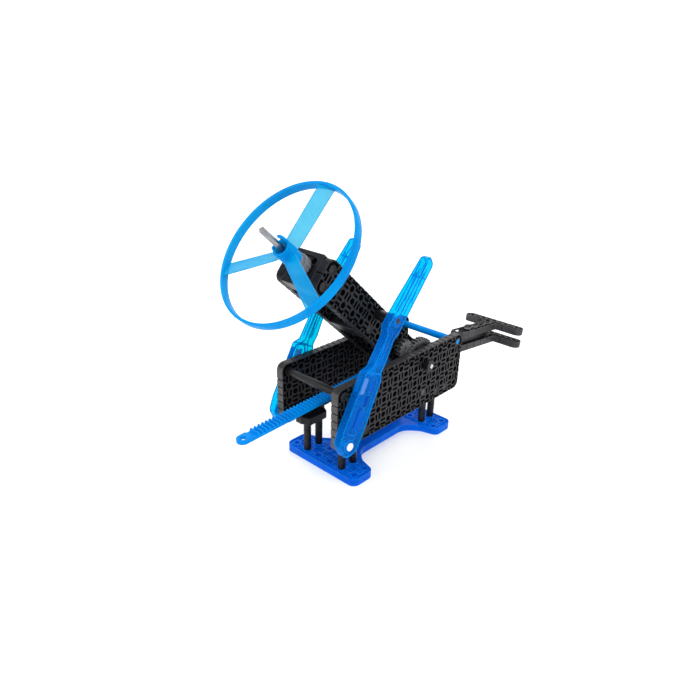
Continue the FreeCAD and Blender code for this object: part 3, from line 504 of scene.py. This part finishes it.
def loft(mesh, sections, place, material):
    """Closed solid through equal-length section loops of (x, y, z) points."""
    first = len(mesh.faces)
    rows = [[mesh.verts.new(put(place, *point)) for point in section] for section in sections]
    for row, following in zip(rows, rows[1:]):
        bridge(mesh, row, following)
    mesh.faces.new(rows[0][::-1])
    mesh.faces.new(rows[-1])
    paint_from(mesh, first, material)


def add_object(mesh, name, materials, sharp_angle=None):
    """Smooth-shaded object from a bmesh; sharp_angle in degrees keeps sharper edges."""
    bmesh.ops.recalc_face_normals(mesh, faces=mesh.faces)
    data = bpy.data.meshes.new(name)
    mesh.to_mesh(data)
    mesh.free()
    for material in materials:
        data.materials.append(material)
    for polygon in data.polygons:
        polygon.use_smooth = True
    if sharp_angle:
        data.set_sharp_from_angle(angle=math.radians(sharp_angle))
    ob = bpy.data.objects.new(name, data)
    scene.collection.objects.link(ob)
    return ob


def finish_piece(mesh, part, suffix, materials, body, sharp_angle=32.0):
    """Object that stands for the CAD part and rides its body."""
    ob = add_object(mesh, part + suffix, materials, sharp_angle)
    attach(ob, body)
    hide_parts(part)


# ------------------------------------------------------------------ plate relief
# the recess slot is painted shade, the lit edge slot painted light
RECESS_SHADE, EDGE, LIT_EDGE = 1, 2, 3        # material slots of the black plates


def relief(mesh, place, mains, offs, pads_x, pads_y, ticks=(), shade_walls=True):
    """Collars round the holes and twin-slotted pads between them, raised on both faces.

    mains and offs are hole centres; offs also get four small octagons round them. The slots
    of pads_x run along x, those of pads_y along y. ticks are (x, y, width, height) blocks.
    """
    first = len(mesh.faces)
    for low, high in RELIEF_LEVELS:
        def raised(outline, *holes, top=high):
            sheet(mesh, outline, holes, low, top, 0.0, place)

        for x, y in mains + offs:
            raised(octagon(x, y, 6.6), circle(x, y, 2.35, 12))
        for x, y in pads_x:
            raised(cell(x, y, 6.6, 6.3, 0.3),
                   *[cell(x, y + shift, 5.6, 1.95, 0.45) for shift in (-1.75, 1.75)])
        for x, y in pads_y:
            raised(cell(x, y, 6.3, 6.6, 0.3),
                   *[cell(x + shift, y, 1.95, 5.6, 0.45) for shift in (-1.75, 1.75)])
        for x, y in offs:
            for dx, dy in ((-1, -1), (-1, 1), (1, -1), (1, 1)):
                raised(octagon(x + dx * PITCH / 4, y + dy * PITCH / 4, 2.2),
                       top=high - 0.01 if low else high)
        for x, y, width, height in ticks:
            raised(cell(x, y, width, height, 0.15))
    # painted shade on the side walls of the raised lines
    if shade_walls:
        paint_walls(mesh, place, first, RECESS_SHADE)


def rims(mesh, place, outline, lip):
    """Raised border between outline and lip on both faces."""
    for low, high in RELIEF_LEVELS:
        sheet(mesh, outline, [lip], low, high, 0.1, place)


def paint_walls(mesh, place, first, material):
    """Unpainted faces that stand up from the plate take the material."""
    normal = place.to_3x3() @ Vector((0, 0, 1))
    mesh.normal_update()
    mesh.faces.ensure_lookup_table()
    for face in mesh.faces[first:]:
        if face.material_index == 0 and abs(face.normal.dot(normal)) < 0.5:
            face.material_index = material


def paint_shade(mesh, place, test):
    """Side faces whose middle passes the test, in local mm, take the recess material, a painted
    shade.
    """
    back = place.inverted()
    normal = place.to_3x3() @ Vector((0, 0, 1))
    for face in mesh.faces:
        if abs(face.normal.dot(normal)) < 0.8:
            centre = back @ face.calc_center_median() / MM
            if test(centre.x, centre.y):
                face.material_index = RECESS_SHADE


def near_mark(value, step):
    return abs((value + step / 2) % step - step / 2) < 0.4


def hole_circles(centres):
    return [circle(x, y, HOLE_R) for x, y in centres]


# ------------------------------------------------------------------ perforated plates
def perforated(name, cols, rows, place, face, side, edge_light=False):
    """Plate of cols by rows pitches; the last flag paints light on its edge at local x = 0."""
    mesh = bmesh.new()
    width, height, corner = cols * PITCH, rows * PITCH, 5.6
    plain = facing(round_loop([(0, 0, corner), (width, 0, corner), (width, height, corner),
                               (0, height, corner)], 6), True)
    outer = facing(edge_notched(plain, PITCH / 2), True)
    mains = [(PITCH * (i + 0.5), PITCH * (j + 0.5)) for i in range(cols) for j in range(rows)]
    offs = [(PITCH * i, PITCH * j) for i in range(1, cols) for j in range(1, rows)]
    pads_x = [(PITCH * i, PITCH * (j + 0.5)) for i in range(1, cols) for j in range(rows)]
    pads_y = [(PITCH * (i + 0.5), PITCH * j) for i in range(cols) for j in range(1, rows)]
    inward, shifts = 2.1, (-2.15, 2.15)     # tick centres from the rim and from the half pitch
    ticks = [(PITCH * i + shift, y, 1.9, 3.0)
             for i in range(1, cols) for shift in shifts for y in (inward, height - inward)]
    ticks += [(x, PITCH * j + shift, 3.0, 1.9)
              for j in range(1, rows) for shift in shifts for x in (inward, width - inward)]
    # outer skin of the edge between the two rims, then the recessed floor inside it, painted
    # near-black as shade
    sheet(mesh, outer, [inset(plain, 1.0)], SINK, WALL - SINK, 0.0, place)
    sheet(mesh, inset(plain, 0.97), hole_circles(mains + offs), SINK, WALL - SINK, 0.0, place,
          RECESS_SHADE)
    relief(mesh, place, mains, offs, pads_x, pads_y, ticks)
    rims(mesh, place, outer, inset(plain, 0.95))
    paint_walls(mesh, place, 0, EDGE)

    def in_notch(x, y):
        on_x = near_mark(x, PITCH / 2) and min(y, height - y) < 1.0 and 2 < x < width - 2
        on_y = near_mark(y, PITCH / 2) and min(x, width - x) < 1.0 and 2 < y < height - 2
        return on_x or on_y

    # painted shade in the rim grooves
    paint_shade(mesh, place, in_notch)
    # painted light: walls at the front edge take the lighter edge plastic
    if edge_light:
        back = place.inverted()
        for wall in mesh.faces:
            if wall.material_index == EDGE and (back @ wall.calc_center_median()).x / MM < 0.9:
                wall.material_index = LIT_EDGE
    finish_piece(mesh, name, "_skin", [face, BLACK_RECESS_SHADE, side, BLACK_LIT], "chassis")


def side_plate(name):
    low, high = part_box(name)
    place = Matrix.Translation((low.x, high.y, low.z)) @ STAND
    perforated(name, 12, 4, place, BLACK, BLACK_SIDE, edge_light=True)


def arm_plate(name):
    """Plate along the shaft; local x runs down it from 11 pitches above the lower axle."""
    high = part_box(name)[1]
    start = AXLE + SHAFT_DIR * (11 * PITCH * MM) + SHAFT_SIDE * (-PITCH * MM)
    lean = Matrix.Rotation(math.atan2(SHAFT_DIR.z, -SHAFT_DIR.x), 4, "Y")
    place = Matrix.Translation((start.x, high.y, start.z)) @ lean @ STAND
    # the arm plates take the painted-shade copies of the black plastics
    perforated(name, 12, 2, place, BLACK_ARM_SHADED, BLACK_ARM_EDGE_SHADED)


# ------------------------------------------------------------------ T-handles
HANDLE_LEAN = math.radians(6.7)
HANDLE_LONG, HANDLE_WIDE = 6 * PITCH, 5 * PITCH


def handle_place(name):
    """Frame with local x down the lean, at the least reach of the CAD mesh along x and z."""
    cos, sin = math.cos(HANDLE_LEAN), math.sin(HANDLE_LEAN)
    points = [vertex.co for vertex in nodes[name].data.vertices]
    corner = Vector()
    for along in (Vector((cos, 0, -sin)), Vector((sin, 0, cos))):
        corner += along * min(point.dot(along) for point in points)
    return Matrix.Translation(corner) @ Matrix.Rotation(HANDLE_LEAN, 4, "Y")


def handle(name):
    """T-shaped perforated grip: stem along local x, cross-bar at its far end.

    A window near the stem's free end opens through the +y side below the top shelf.
    """
    place = handle_place(name)
    mesh = bmesh.new()
    neck, stem, wing, corner = HANDLE_LONG - PITCH, PITCH / 2, HANDLE_WIDE / 2, 5.4
    left, right, near, far = 1.5, 13.5, -1.25, 4.85     # window limits in x, then in y
    head = [(0, -stem, 2.2), (neck, -stem, 1.5), (neck, -wing, corner),
            (HANDLE_LONG, -wing, corner), (HANDLE_LONG, wing, corner), (neck, wing, corner),
            (neck, stem, 1.5)]
    full = round_loop(head + [(0, stem, 2.2)], 6)
    opened = round_loop(head + [(right, stem, 0.3), (right, near, 0.5), (left, near, 0.5),
                                (left, stem, 0.2), (0, stem, 0.6)], 6)
    window = round_loop([(left, near, 0.5), (right, near, 0.5), (right, far, 0.5),
                         (left, far, 0.5)], 3)
    bar_x = HANDLE_LONG - PITCH / 2
    mains = [(PITCH * (k + 0.5), 0.0) for k in (1, 2, 3, 4)]
    mains += [(bar_x, PITCH * k) for k in (-2, -1, 0, 1, 2)]
    pads_x = [(PITCH * k, 0.0) for k in (2, 3, 4)] + [(neck, 0.0)]
    pads_y = [(bar_x, PITCH * (k + 0.5)) for k in (-2, -1, 0, 1)]
    holes = hole_circles(mains)
    shelf = WALL - 1.4
    in_low, in_top = facing(opened, True), facing(full, True)
    # rim and floor of the open lower part, then of the closed top; the floors are painted
    # near-black as shade
    sheet(mesh, edge_notched(opened, PITCH), [inset(in_low, 0.7)], 0.0, shelf, 0.1, place)
    sheet(mesh, inset(in_low, 0.67), holes, SINK, shelf, 0.0, place, RECESS_SHADE)
    sheet(mesh, edge_notched(full, PITCH), [inset(in_top, 0.95)], shelf, WALL, 0.12, place)
    sheet(mesh, inset(in_top, 0.92), holes + [window], shelf, shelf + 0.3, 0.0, place, RECESS_SHADE)
    relief(mesh, place, mains, [], pads_x, pads_y)
    paint_walls(mesh, place, 0, EDGE)

    def in_notch(x, y):
        on_stem = near_mark(x, PITCH) and abs(abs(y) - stem) < 1.0 and 2 < x < neck - 2
        from_bar = min(abs(x - HANDLE_LONG), abs(x - neck))
        return on_stem or (near_mark(y, PITCH) and from_bar < 1.0 and abs(y) < 29)

    # painted shade in the rim grooves
    paint_shade(mesh, place, in_notch)
    finish_piece(mesh, name, "_skin", [GRIP, BLACK_RECESS_SHADE, GRIP_SIDE], "pull_rack")


# ------------------------------------------------------------------ swept struts
# the rib and dim slots carry painted shade, the pale slot a painted sheen
RIB_SHADE, SHEEN, SHADE = 1, 2, 3                # material slots of the struts

# outline corners: x, y, corner radius
STRUT = [(-4.2, 10.5, 6), (2.0, -3.6, 7), (14.5, -1.8, 8), (25.5, 19.0, 20), (38.9, 47.5, 6),
         (38.9, 54.5, 3), (43.5, 60.5, 4), (51.0, 75.8, 4), (55.8, 78.4, 5), (64.0, 88.8, 6),
         (92.2, 122.8, 5), (88.2, 129.6, 4), (83.2, 129.4, 3), (55.0, 101.8, 6),
         (42.0, 87.6, 4), (42.6, 82.0, 3), (28.6, 61.4, 2), (21.8, 60.0, 3), (0.0, 21.5, 15)]
STRUT_PANEL = [(3.5, 17.5, 3), (14.0, 11.0, 3), (23.5, 22.5, 6), (35.0, 49.0, 4),
               (34.0, 55.0, 2), (25.5, 57.0, 2), (12.5, 37.5, 9)]
# painted sheen and shade facets: material slot, then the four corners
STRUT_FACETS = [
    (SHEEN, [(15.6, 45.3), (19.6, 43.7), (24.7, 53.8), (21.3, 56.2)]),
    (RIB_SHADE, [(9.0, 17.5), (16.5, 15.5), (22.0, 29.0), (15.0, 30.5)]),
    (SHADE, [(19.0, 33.8), (22.2, 32.2), (26.2, 40.2), (23.0, 41.8)]),
    (RIB_SHADE, [(24.5, 43.5), (30.0, 43.0), (32.0, 50.5), (29.5, 51.5)]),
    (SHADE, [(8.2, 20.5), (10.6, 20.0), (17.5, 34.0), (16.2, 35.5)])]
# material slot, start, end
STRUT_RIBS = [
    (RIB_SHADE, (33.5, 61.5), (48.0, 84.5)), (RIB_SHADE, (36.4, 60.8), (50.0, 82.6)),
    (RIB_SHADE, (57.5, 95.5), (84.0, 126.0)), (0, (60.4, 93.4), (82.0, 118.5)),
    (0, (74.5, 118.0), (83.5, 113.5)), (0, (78.5, 115.8), (84.0, 121.0)),
    (0, (24.0, 59.0), (38.0, 53.0)), (0, (68.0, 99.5), (79.5, 119.0))]


def strut(name, panel_levels):
    """Clear strut with raised borders, bosses, a panel outline, facets and shallow ribs, with
    painted shade and painted sheen on the facets, the outline and some ribs.
    """
    place = Matrix.Translation((PLATE_X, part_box(name)[1].y, PLATE_Z)) @ STAND
    mesh = bmesh.new()
    outline = facing(round_loop(STRUT), True)
    pin_low = (PITCH / 2, PITCH / 2)
    upper = AXLE + SHAFT_DIR * (5.5 * PITCH * MM) + SHAFT_SIDE * (PITCH / 2 * MM)
    pin_up = ((upper.x - PLATE_X) / MM, (upper.z - PLATE_Z) / MM)
    holes = [circle(*pin, HOLE_R, 20) for pin in (pin_low, pin_up)]
    sheet(mesh, outline, holes, 0.3, WALL - 0.3, 0.5, place)
    for low, high in ((0.0, 0.45), (WALL - 0.45, WALL)):
        sheet(mesh, inset(outline, 0.55), [inset(outline, 1.35)], low, high, 0.1, place)
        for pin, boss, hole in zip((pin_low, pin_up), (5.0, 4.4), holes):
            sheet(mesh, circle(*pin, boss, 28), [hole], low, high, 0.12, place)
    panel = round_loop(STRUT_PANEL, 3)
    sheet(mesh, panel, [inset(panel, 0.7)], *panel_levels, 0.1, place, RIB_SHADE)
    for material, facet in STRUT_FACETS:
        for low, high in ((0.0, 0.35), (WALL - 0.35, WALL)):
            sheet(mesh, facet, [], low, high, 0.1, place, material)
    for material, start, end in STRUT_RIBS:
        for low, high in ((0.05, 0.6), (WALL - 0.6, WALL - 0.05)):
            sheet(mesh, bar(start, end, 0.6), [], low, high, 0.1, place, material)
    finish_piece(mesh, name, "_moulding", [STRUT_BLUE, STRUT_RIB_SHADED, STRUT_SHEEN, STRUT_SHADE],
                 "chassis", 28)


# ------------------------------------------------------------------ base
BASE_COLUMNS = [PITCH * k for k in (-4.5, -3.5, 3.5, 4.5)]      # x of the hole columns


def base_plate():
    """H-shaped plate, waisted between its two ends along x."""
    low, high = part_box("base_plate")
    half_x, half_y, waist = (high.x - low.x) / 2 / MM, (high.y - low.y) / 2 / MM, 11.5
    quarter = [(half_x, half_y, 6.0), (half_x - 21.5, half_y, 6.0),
               (half_x - 25.6, half_y - 14.5, 9.0), (half_x - 35.5, waist, 15.0)]
    corners = [(x, -y, r) for x, y, r in quarter][::-1] + quarter
    corners += [(-x, y, r) for x, y, r in quarter][::-1] + [(-x, -y, r) for x, y, r in quarter]
    outline = facing(round_loop(corners, 8), True)
    halves = [PITCH * (k - 2.5) for k in range(6)]
    wholes = [PITCH * k for k in (-2, -1, 0, 1, 2)]
    holes = [(x, y) for x in BASE_COLUMNS for y in halves] + [(x, 0.0) for x in halves]
    pads_y = [(x, y) for x in BASE_COLUMNS for y in wholes]
    pads_x = [(x, y) for x in (-4 * PITCH, 4 * PITCH) for y in halves]
    pads_x += [(x, 0.0) for x in wholes]
    mesh = bmesh.new()
    place = Matrix.Translation((0, 0, low.z))
    sheet(mesh, inset(outline, 0.02), hole_circles(holes), SINK, WALL - SINK, 0.0, place)
    relief(mesh, place, holes, [], pads_x, pads_y, shade_walls=False)
    rims(mesh, place, outline, inset(outline, 0.85))
    finish_piece(mesh, "base_plate", "_moulding", [BASE_BLUE], "chassis")


def base_posts():
    """Eight turned posts with three grooves each and a pin at either end."""
    tip, pin, shoulder, body, groove = 1.9, 2.2, 2.75, 3.0, 2.62    # radii
    tall = 2 * PITCH
    top = WALL + tall
    profile = [(0, 0.2), (tip, 0.2), (pin, 0.6), (pin, WALL + 0.01), (shoulder, WALL + 0.02),
               (body, WALL + 0.3)]
    for k in (1, 2, 3):
        z = WALL + tall * k / 4
        profile += [(body, z - 0.45), (groove, z - 0.25), (groove, z + 0.25), (body, z + 0.45)]
    profile += [(body, top - 0.3), (shoulder, top - 0.02), (pin, top - 0.01), (pin, top + 4.9),
                (tip, top + 5.3), (0, top + 5.3)]
    mesh = bmesh.new()
    for x in BASE_COLUMNS:
        for y in (-1.5 * PITCH, 1.5 * PITCH):
            lathe(mesh, profile, Matrix.Translation((x * MM, y * MM, 0)))
    finish_piece(mesh, "base_posts", "_turned", [BLACK_PIN], "chassis", 40)


# ------------------------------------------------------------------ propeller
RING_IN, RING_OUT = 49.8, 51.9          # radii of the outer ring
RING_LOW, RING_HIGH = 153.7, 159.7      # its heights up the shaft
CLAW_Z = 163.7                          # foot of the claws
CLAW_RADIUS = 5.6                       # radius at which claw arc lengths are true
THIN = 1                                # material slot of the blades

# closed profiles: radius, height up the shaft
RING_PROFILE = [
    (RING_IN + 0.35, RING_LOW), (RING_OUT - 0.35, RING_LOW),
    (RING_OUT - 0.1, RING_LOW + 0.12), (RING_OUT, RING_LOW + 0.45),
    (RING_OUT, RING_HIGH - 0.45), (RING_OUT - 0.1, RING_HIGH - 0.12),
    (RING_OUT - 0.35, RING_HIGH), (RING_IN + 0.35, RING_HIGH),
    (RING_IN + 0.1, RING_HIGH - 0.12), (RING_IN, RING_HIGH - 0.45),
    (RING_IN, RING_LOW + 0.45), (RING_IN + 0.1, RING_LOW + 0.12)]
HUB_PROFILE = [
    (6.0, 149.3), (6.35, 149.6), (6.35, 163.6), (6.15, 163.95), (4.75, 164.0), (4.5, 163.7),
    (4.5, 157.4), (4.2, 157.0), (2.4, 157.0), (2.4, 152.3), (5.3, 152.3), (5.3, 149.3)]
# claw corners: arc length round the hub, height above CLAW_Z, corner radius
HOOK = [(-3.4, 0, 0), (-3.3, 0.9, 0.8), (-2.5, 2.3, 1.5), (-0.6, 3.9, 2.0), (1.6, 5.0, 1.2),
        (3.0, 5.1, 0.6), (3.3, 4.3, 0.6), (2.2, 3.1, 1.2), (2.2, 1.8, 1.2), (3.4, 0.7, 1.0),
        (4.6, 0.3, 0.6), (4.6, 0, 0)]
TOOTH = [(8.4, 0, 0), (8.7, 1.0, 0.8), (11.4, 1.9, 0.8), (11.9, 0.9, 0.4), (12.2, 0, 0)]
# blade stations: radius, chord factor, thickness factor, pitch in degrees
BLADE = [(4.7, 0.80, 1.25, 23), (6.3, 0.93, 1.1, 22), (9.0, 0.97, 1.0, 21.5),
         (20.0, 1.0, 1.0, 20.5), (35.0, 1.03, 1.0, 19.5), (47.0, 1.06, 1.0, 18.5),
         (50.6, 1.1, 1.1, 18)]
HALF_CHORD, THICKNESS, CAMBER = 5.65, 1.3, 0.5


def on_shaft(x, y, z):
    """x along SHAFT_SIDE, y along +Y, z up the shaft from the lower axle."""
    return AXLE + SHAFT_SIDE * (x * MM) + Vector((0, y * MM, 0)) + SHAFT_DIR * (z * MM)


def on_wall(x, y, z):
    """x is the arc length from SHAFT_SIDE toward +Y, y the height, z the wall radius."""
    angle = x / CLAW_RADIUS
    return on_shaft(z * math.cos(angle), z * math.sin(angle), y)


def blade_section(angle, radius, chord, thickness, pitch):
    """Closed cambered section across a blade, twisted by its pitch."""
    outward = Vector((math.sin(angle), math.cos(angle), 0))
    across = Vector((-math.cos(angle), math.sin(angle), 0))
    half, thick, pitch = HALF_CHORD * chord, THICKNESS * thickness, math.radians(pitch)
    steps = 10
    upper = [-1 + 2 * i / steps for i in range(steps + 1)]
    lower = [1 - 2 * i / steps for i in range(steps + 1)]
    section = [(u * half, 0.55 * thick + CAMBER * (1 - u * u)) for u in upper]
    section += [(u * half, -0.45 * thick * (1 - 0.75 * abs(u) ** 3) + CAMBER * (1 - u * u))
                for u in lower]
    points = []
    for y, z in section:
        shift = y * math.cos(pitch) - z * math.sin(pitch)
        lift = y * math.sin(pitch) + z * math.cos(pitch)
        point = outward * radius + across * shift
        points.append((point.x, point.y, (RING_LOW + RING_HIGH) / 2 + lift))
    return points


def propeller():
    """Ring, hub with two claws on its upper rim, and three blades."""
    mesh = bmesh.new()
    ring_lathe(mesh, RING_PROFILE, on_shaft, 144)
    ring_lathe(mesh, HUB_PROFILE, on_shaft, 64)
    for claw in (HOOK, TOOTH):
        corners = [(x, CLAW_Z + y, radius) for x, y, radius in claw]
        sheet(mesh, round_loop(corners, 4), [], 4.55, 6.33, 0.2, on_wall)
    for k in range(3):
        angle = math.radians(92 - 120 * k)
        loft(mesh, [blade_section(angle, *station) for station in BLADE], on_shaft, THIN)
    finish_piece(mesh, "propeller", "_moulding", [ROTOR_BLUE, ROTOR_THIN], "flying_rotor",
                 40)


# ------------------------------------------------------------------ carried-over CAD parts
# part: material, and its edge softening in mm where it isn't the usual width
USUAL_SOFT = 0.22
CAD_PARTS = {
    "bracket_front_right": (BLACK_BLOCK, 0.5), "bracket_front_left": (BLACK_BLOCK, 0.5),
    "bracket_rear_right": (BLACK_BLOCK, 0.5), "bracket_rear_left": (BLACK_BLOCK, 0.5),
    "bracket_pins": (BLACK_PIN,), "front_crossbar": (BLACK_PIN,),
    "rear_crossbar": (RACK_BLUE,), "rack_guide": (GEAR,), "strut_lower_pins": (WHITE,),
    "strut_upper_standoffs": (BLACK_PIN,), "arm_end_block": (BLACK_BLOCK, 0.8),
    "arm_bearing_block": (BLACK_BLOCK, 0.6), "arm_block_pins": (BLACK_PIN,),
    "rack_pinion": (GEAR, 0.12), "spur_gear_large": (GEAR, 0.15),
    "spur_gear_small": (GEAR, 0.15), "bevel_gear_axle": (GEAR, 0.1),
    "bevel_gear_shaft": (GEAR, 0.1), "axle_lower": (AXLE_STEEL,), "axle_upper": (AXLE_STEEL,),
    "rotor_shaft": (SHAFT_STEEL,), "axle_lower_collars": (BLACK_PIN,),
    "axle_upper_collar": (BLACK_PIN,), "shaft_stop_collar": (BLACK_PIN,),
    "launch_collar": (COLLAR,), "rack": (RACK_BLUE, 0.12), "rack_coupler": (BLACK_BLOCK,),
    "handle_pins": (BLACK_PIN,),
}


def dress(name, material, soft=USUAL_SOFT):
    """One material, welded seams and softened edges on a CAD part."""
    ob = nodes[name]
    ob.data.materials.clear()
    ob.data.materials.append(material)
    for polygon in ob.data.polygons:
        polygon.material_index = 0
    weld = ob.modifiers.new("weld", "WELD")
    weld.merge_threshold = 2e-6
    bevel = ob.modifiers.new("soften", "BEVEL")
    bevel.width = soft * MM
    bevel.segments = 2
    bevel.limit_method = "ANGLE"
    bevel.angle_limit = math.radians(38)
    bevel.use_clamp_overlap = True


# ------------------------------------------------------------------ floor, light, camera (m)
def floor():
    """Pale floor that curves up into a wall on the far side from the camera."""
    away = Vector((0.7402, 0.6723, 0))
    across = Vector((-away.y, away.x, 0))
    flat_end, bend, half_width = 0.9, 0.9, 4.0
    profile = [(-2.5, 0.0), (flat_end, 0.0)]
    for k in range(1, 13):
        angle = math.radians(90 * k / 12)
        profile.append((flat_end + bend * math.sin(angle), bend - bend * math.cos(angle)))
    profile.append((flat_end + bend, 4.0))
    mesh = bmesh.new()
    rows = [[mesh.verts.new(away * distance + across * shift + Vector((0, 0, z)))
             for shift in (-half_width, half_width)] for distance, z in profile]
    for row, following in zip(rows, rows[1:]):
        mesh.faces.new((row[0], row[1], following[1], following[0]))
    ob = add_object(mesh, "floor", [])
    material, tree = new_material("pale_floor")
    blotches = noise(tree, object_coords(tree), scale=3.0, detail=2.0)
    tone = ramp(tree, blotches, (0.3, (0.90, 0.90, 0.90)), (0.7, (0.92, 0.92, 0.92)))
    shader = add_node(tree, "BsdfPrincipled", {
        "Roughness": 0.75, "Specular IOR Level": 0.2, "Base Color": tone,
        "Emission Color": (1.0, 1.0, 1.0, 1.0), "Emission Strength": 0.16})
    add_node(tree, "OutputMaterial", {"Surface": shader.outputs["BSDF"]})
    ob.data.materials.append(material)


def white_world():
    world = bpy.data.worlds.new("studio")
    scene.world = world
    world.use_nodes = True
    background = world.node_tree.nodes["Background"]
    background.inputs["Color"].default_value = (1, 1, 1, 1)
    background.inputs["Strength"].default_value = 1.0


def area_light(name, where, target, size, power):
    """Round light aimed at the target."""
    light = bpy.data.lights.new(name, "AREA")
    light.shape = "DISK"
    light.size = size
    light.energy = power
    ob = bpy.data.objects.new(name, light)
    scene.collection.objects.link(ob)
    ob.location = where
    ob.rotation_mode = "QUATERNION"
    ob.rotation_quaternion = (Vector(target) - Vector(where)).to_track_quat("-Z", "Y")


def camera():
    data = bpy.data.cameras.new("camera")
    data.sensor_width = 36.0
    data.lens = 31.516
    data.shift_y = 0.042857143
    data.clip_start = 0.01
    data.clip_end = 50.0
    ob = bpy.data.objects.new("camera", data)
    scene.collection.objects.link(ob)
    right = Vector((0.6810962, -0.7318013, 0.0239747))
    up = Vector((0.3162637, 0.3235664, 0.8917859))
    pose = Matrix((right, up, right.cross(up))).transposed().to_4x4()
    pose.translation = Vector((-0.34397, -0.28585, 0.28085))
    ob.matrix_world = pose
    scene.camera = ob


# ------------------------------------------------------------------ build
for plate in ("side_plate_right", "side_plate_left"):
    side_plate(plate)
for plate in ("arm_plate_right", "arm_plate_left"):
    arm_plate(plate)
for grip in ("handle_upper", "handle_lower"):
    handle(grip)
# the panel is on the -Y face of one strut and on the +Y face of the other
strut("strut_right", panel_levels=(WALL - 1.2, WALL - 0.02))
strut("strut_left", panel_levels=(0.02, 1.2))
base_plate()
base_posts()
propeller()
for part, look in CAD_PARTS.items():
    dress(part, *look)

floor()
white_world()
area_light("key", where=(-0.55, -0.9, 1.35), target=(0, 0, 0.06), size=0.9, power=9.0)
area_light("fill", where=(-1.2, 0.6, 0.9), target=(0, 0, 0.08), size=1.0, power=4.0)
area_light("rim", where=(0.9, 0.5, 1.1), target=(0, 0, 0.08), size=0.8, power=5.0)
camera()
scene.view_settings.view_transform = "Standard"
scene.view_settings.look = "None"
scene.view_settings.exposure = 0.0
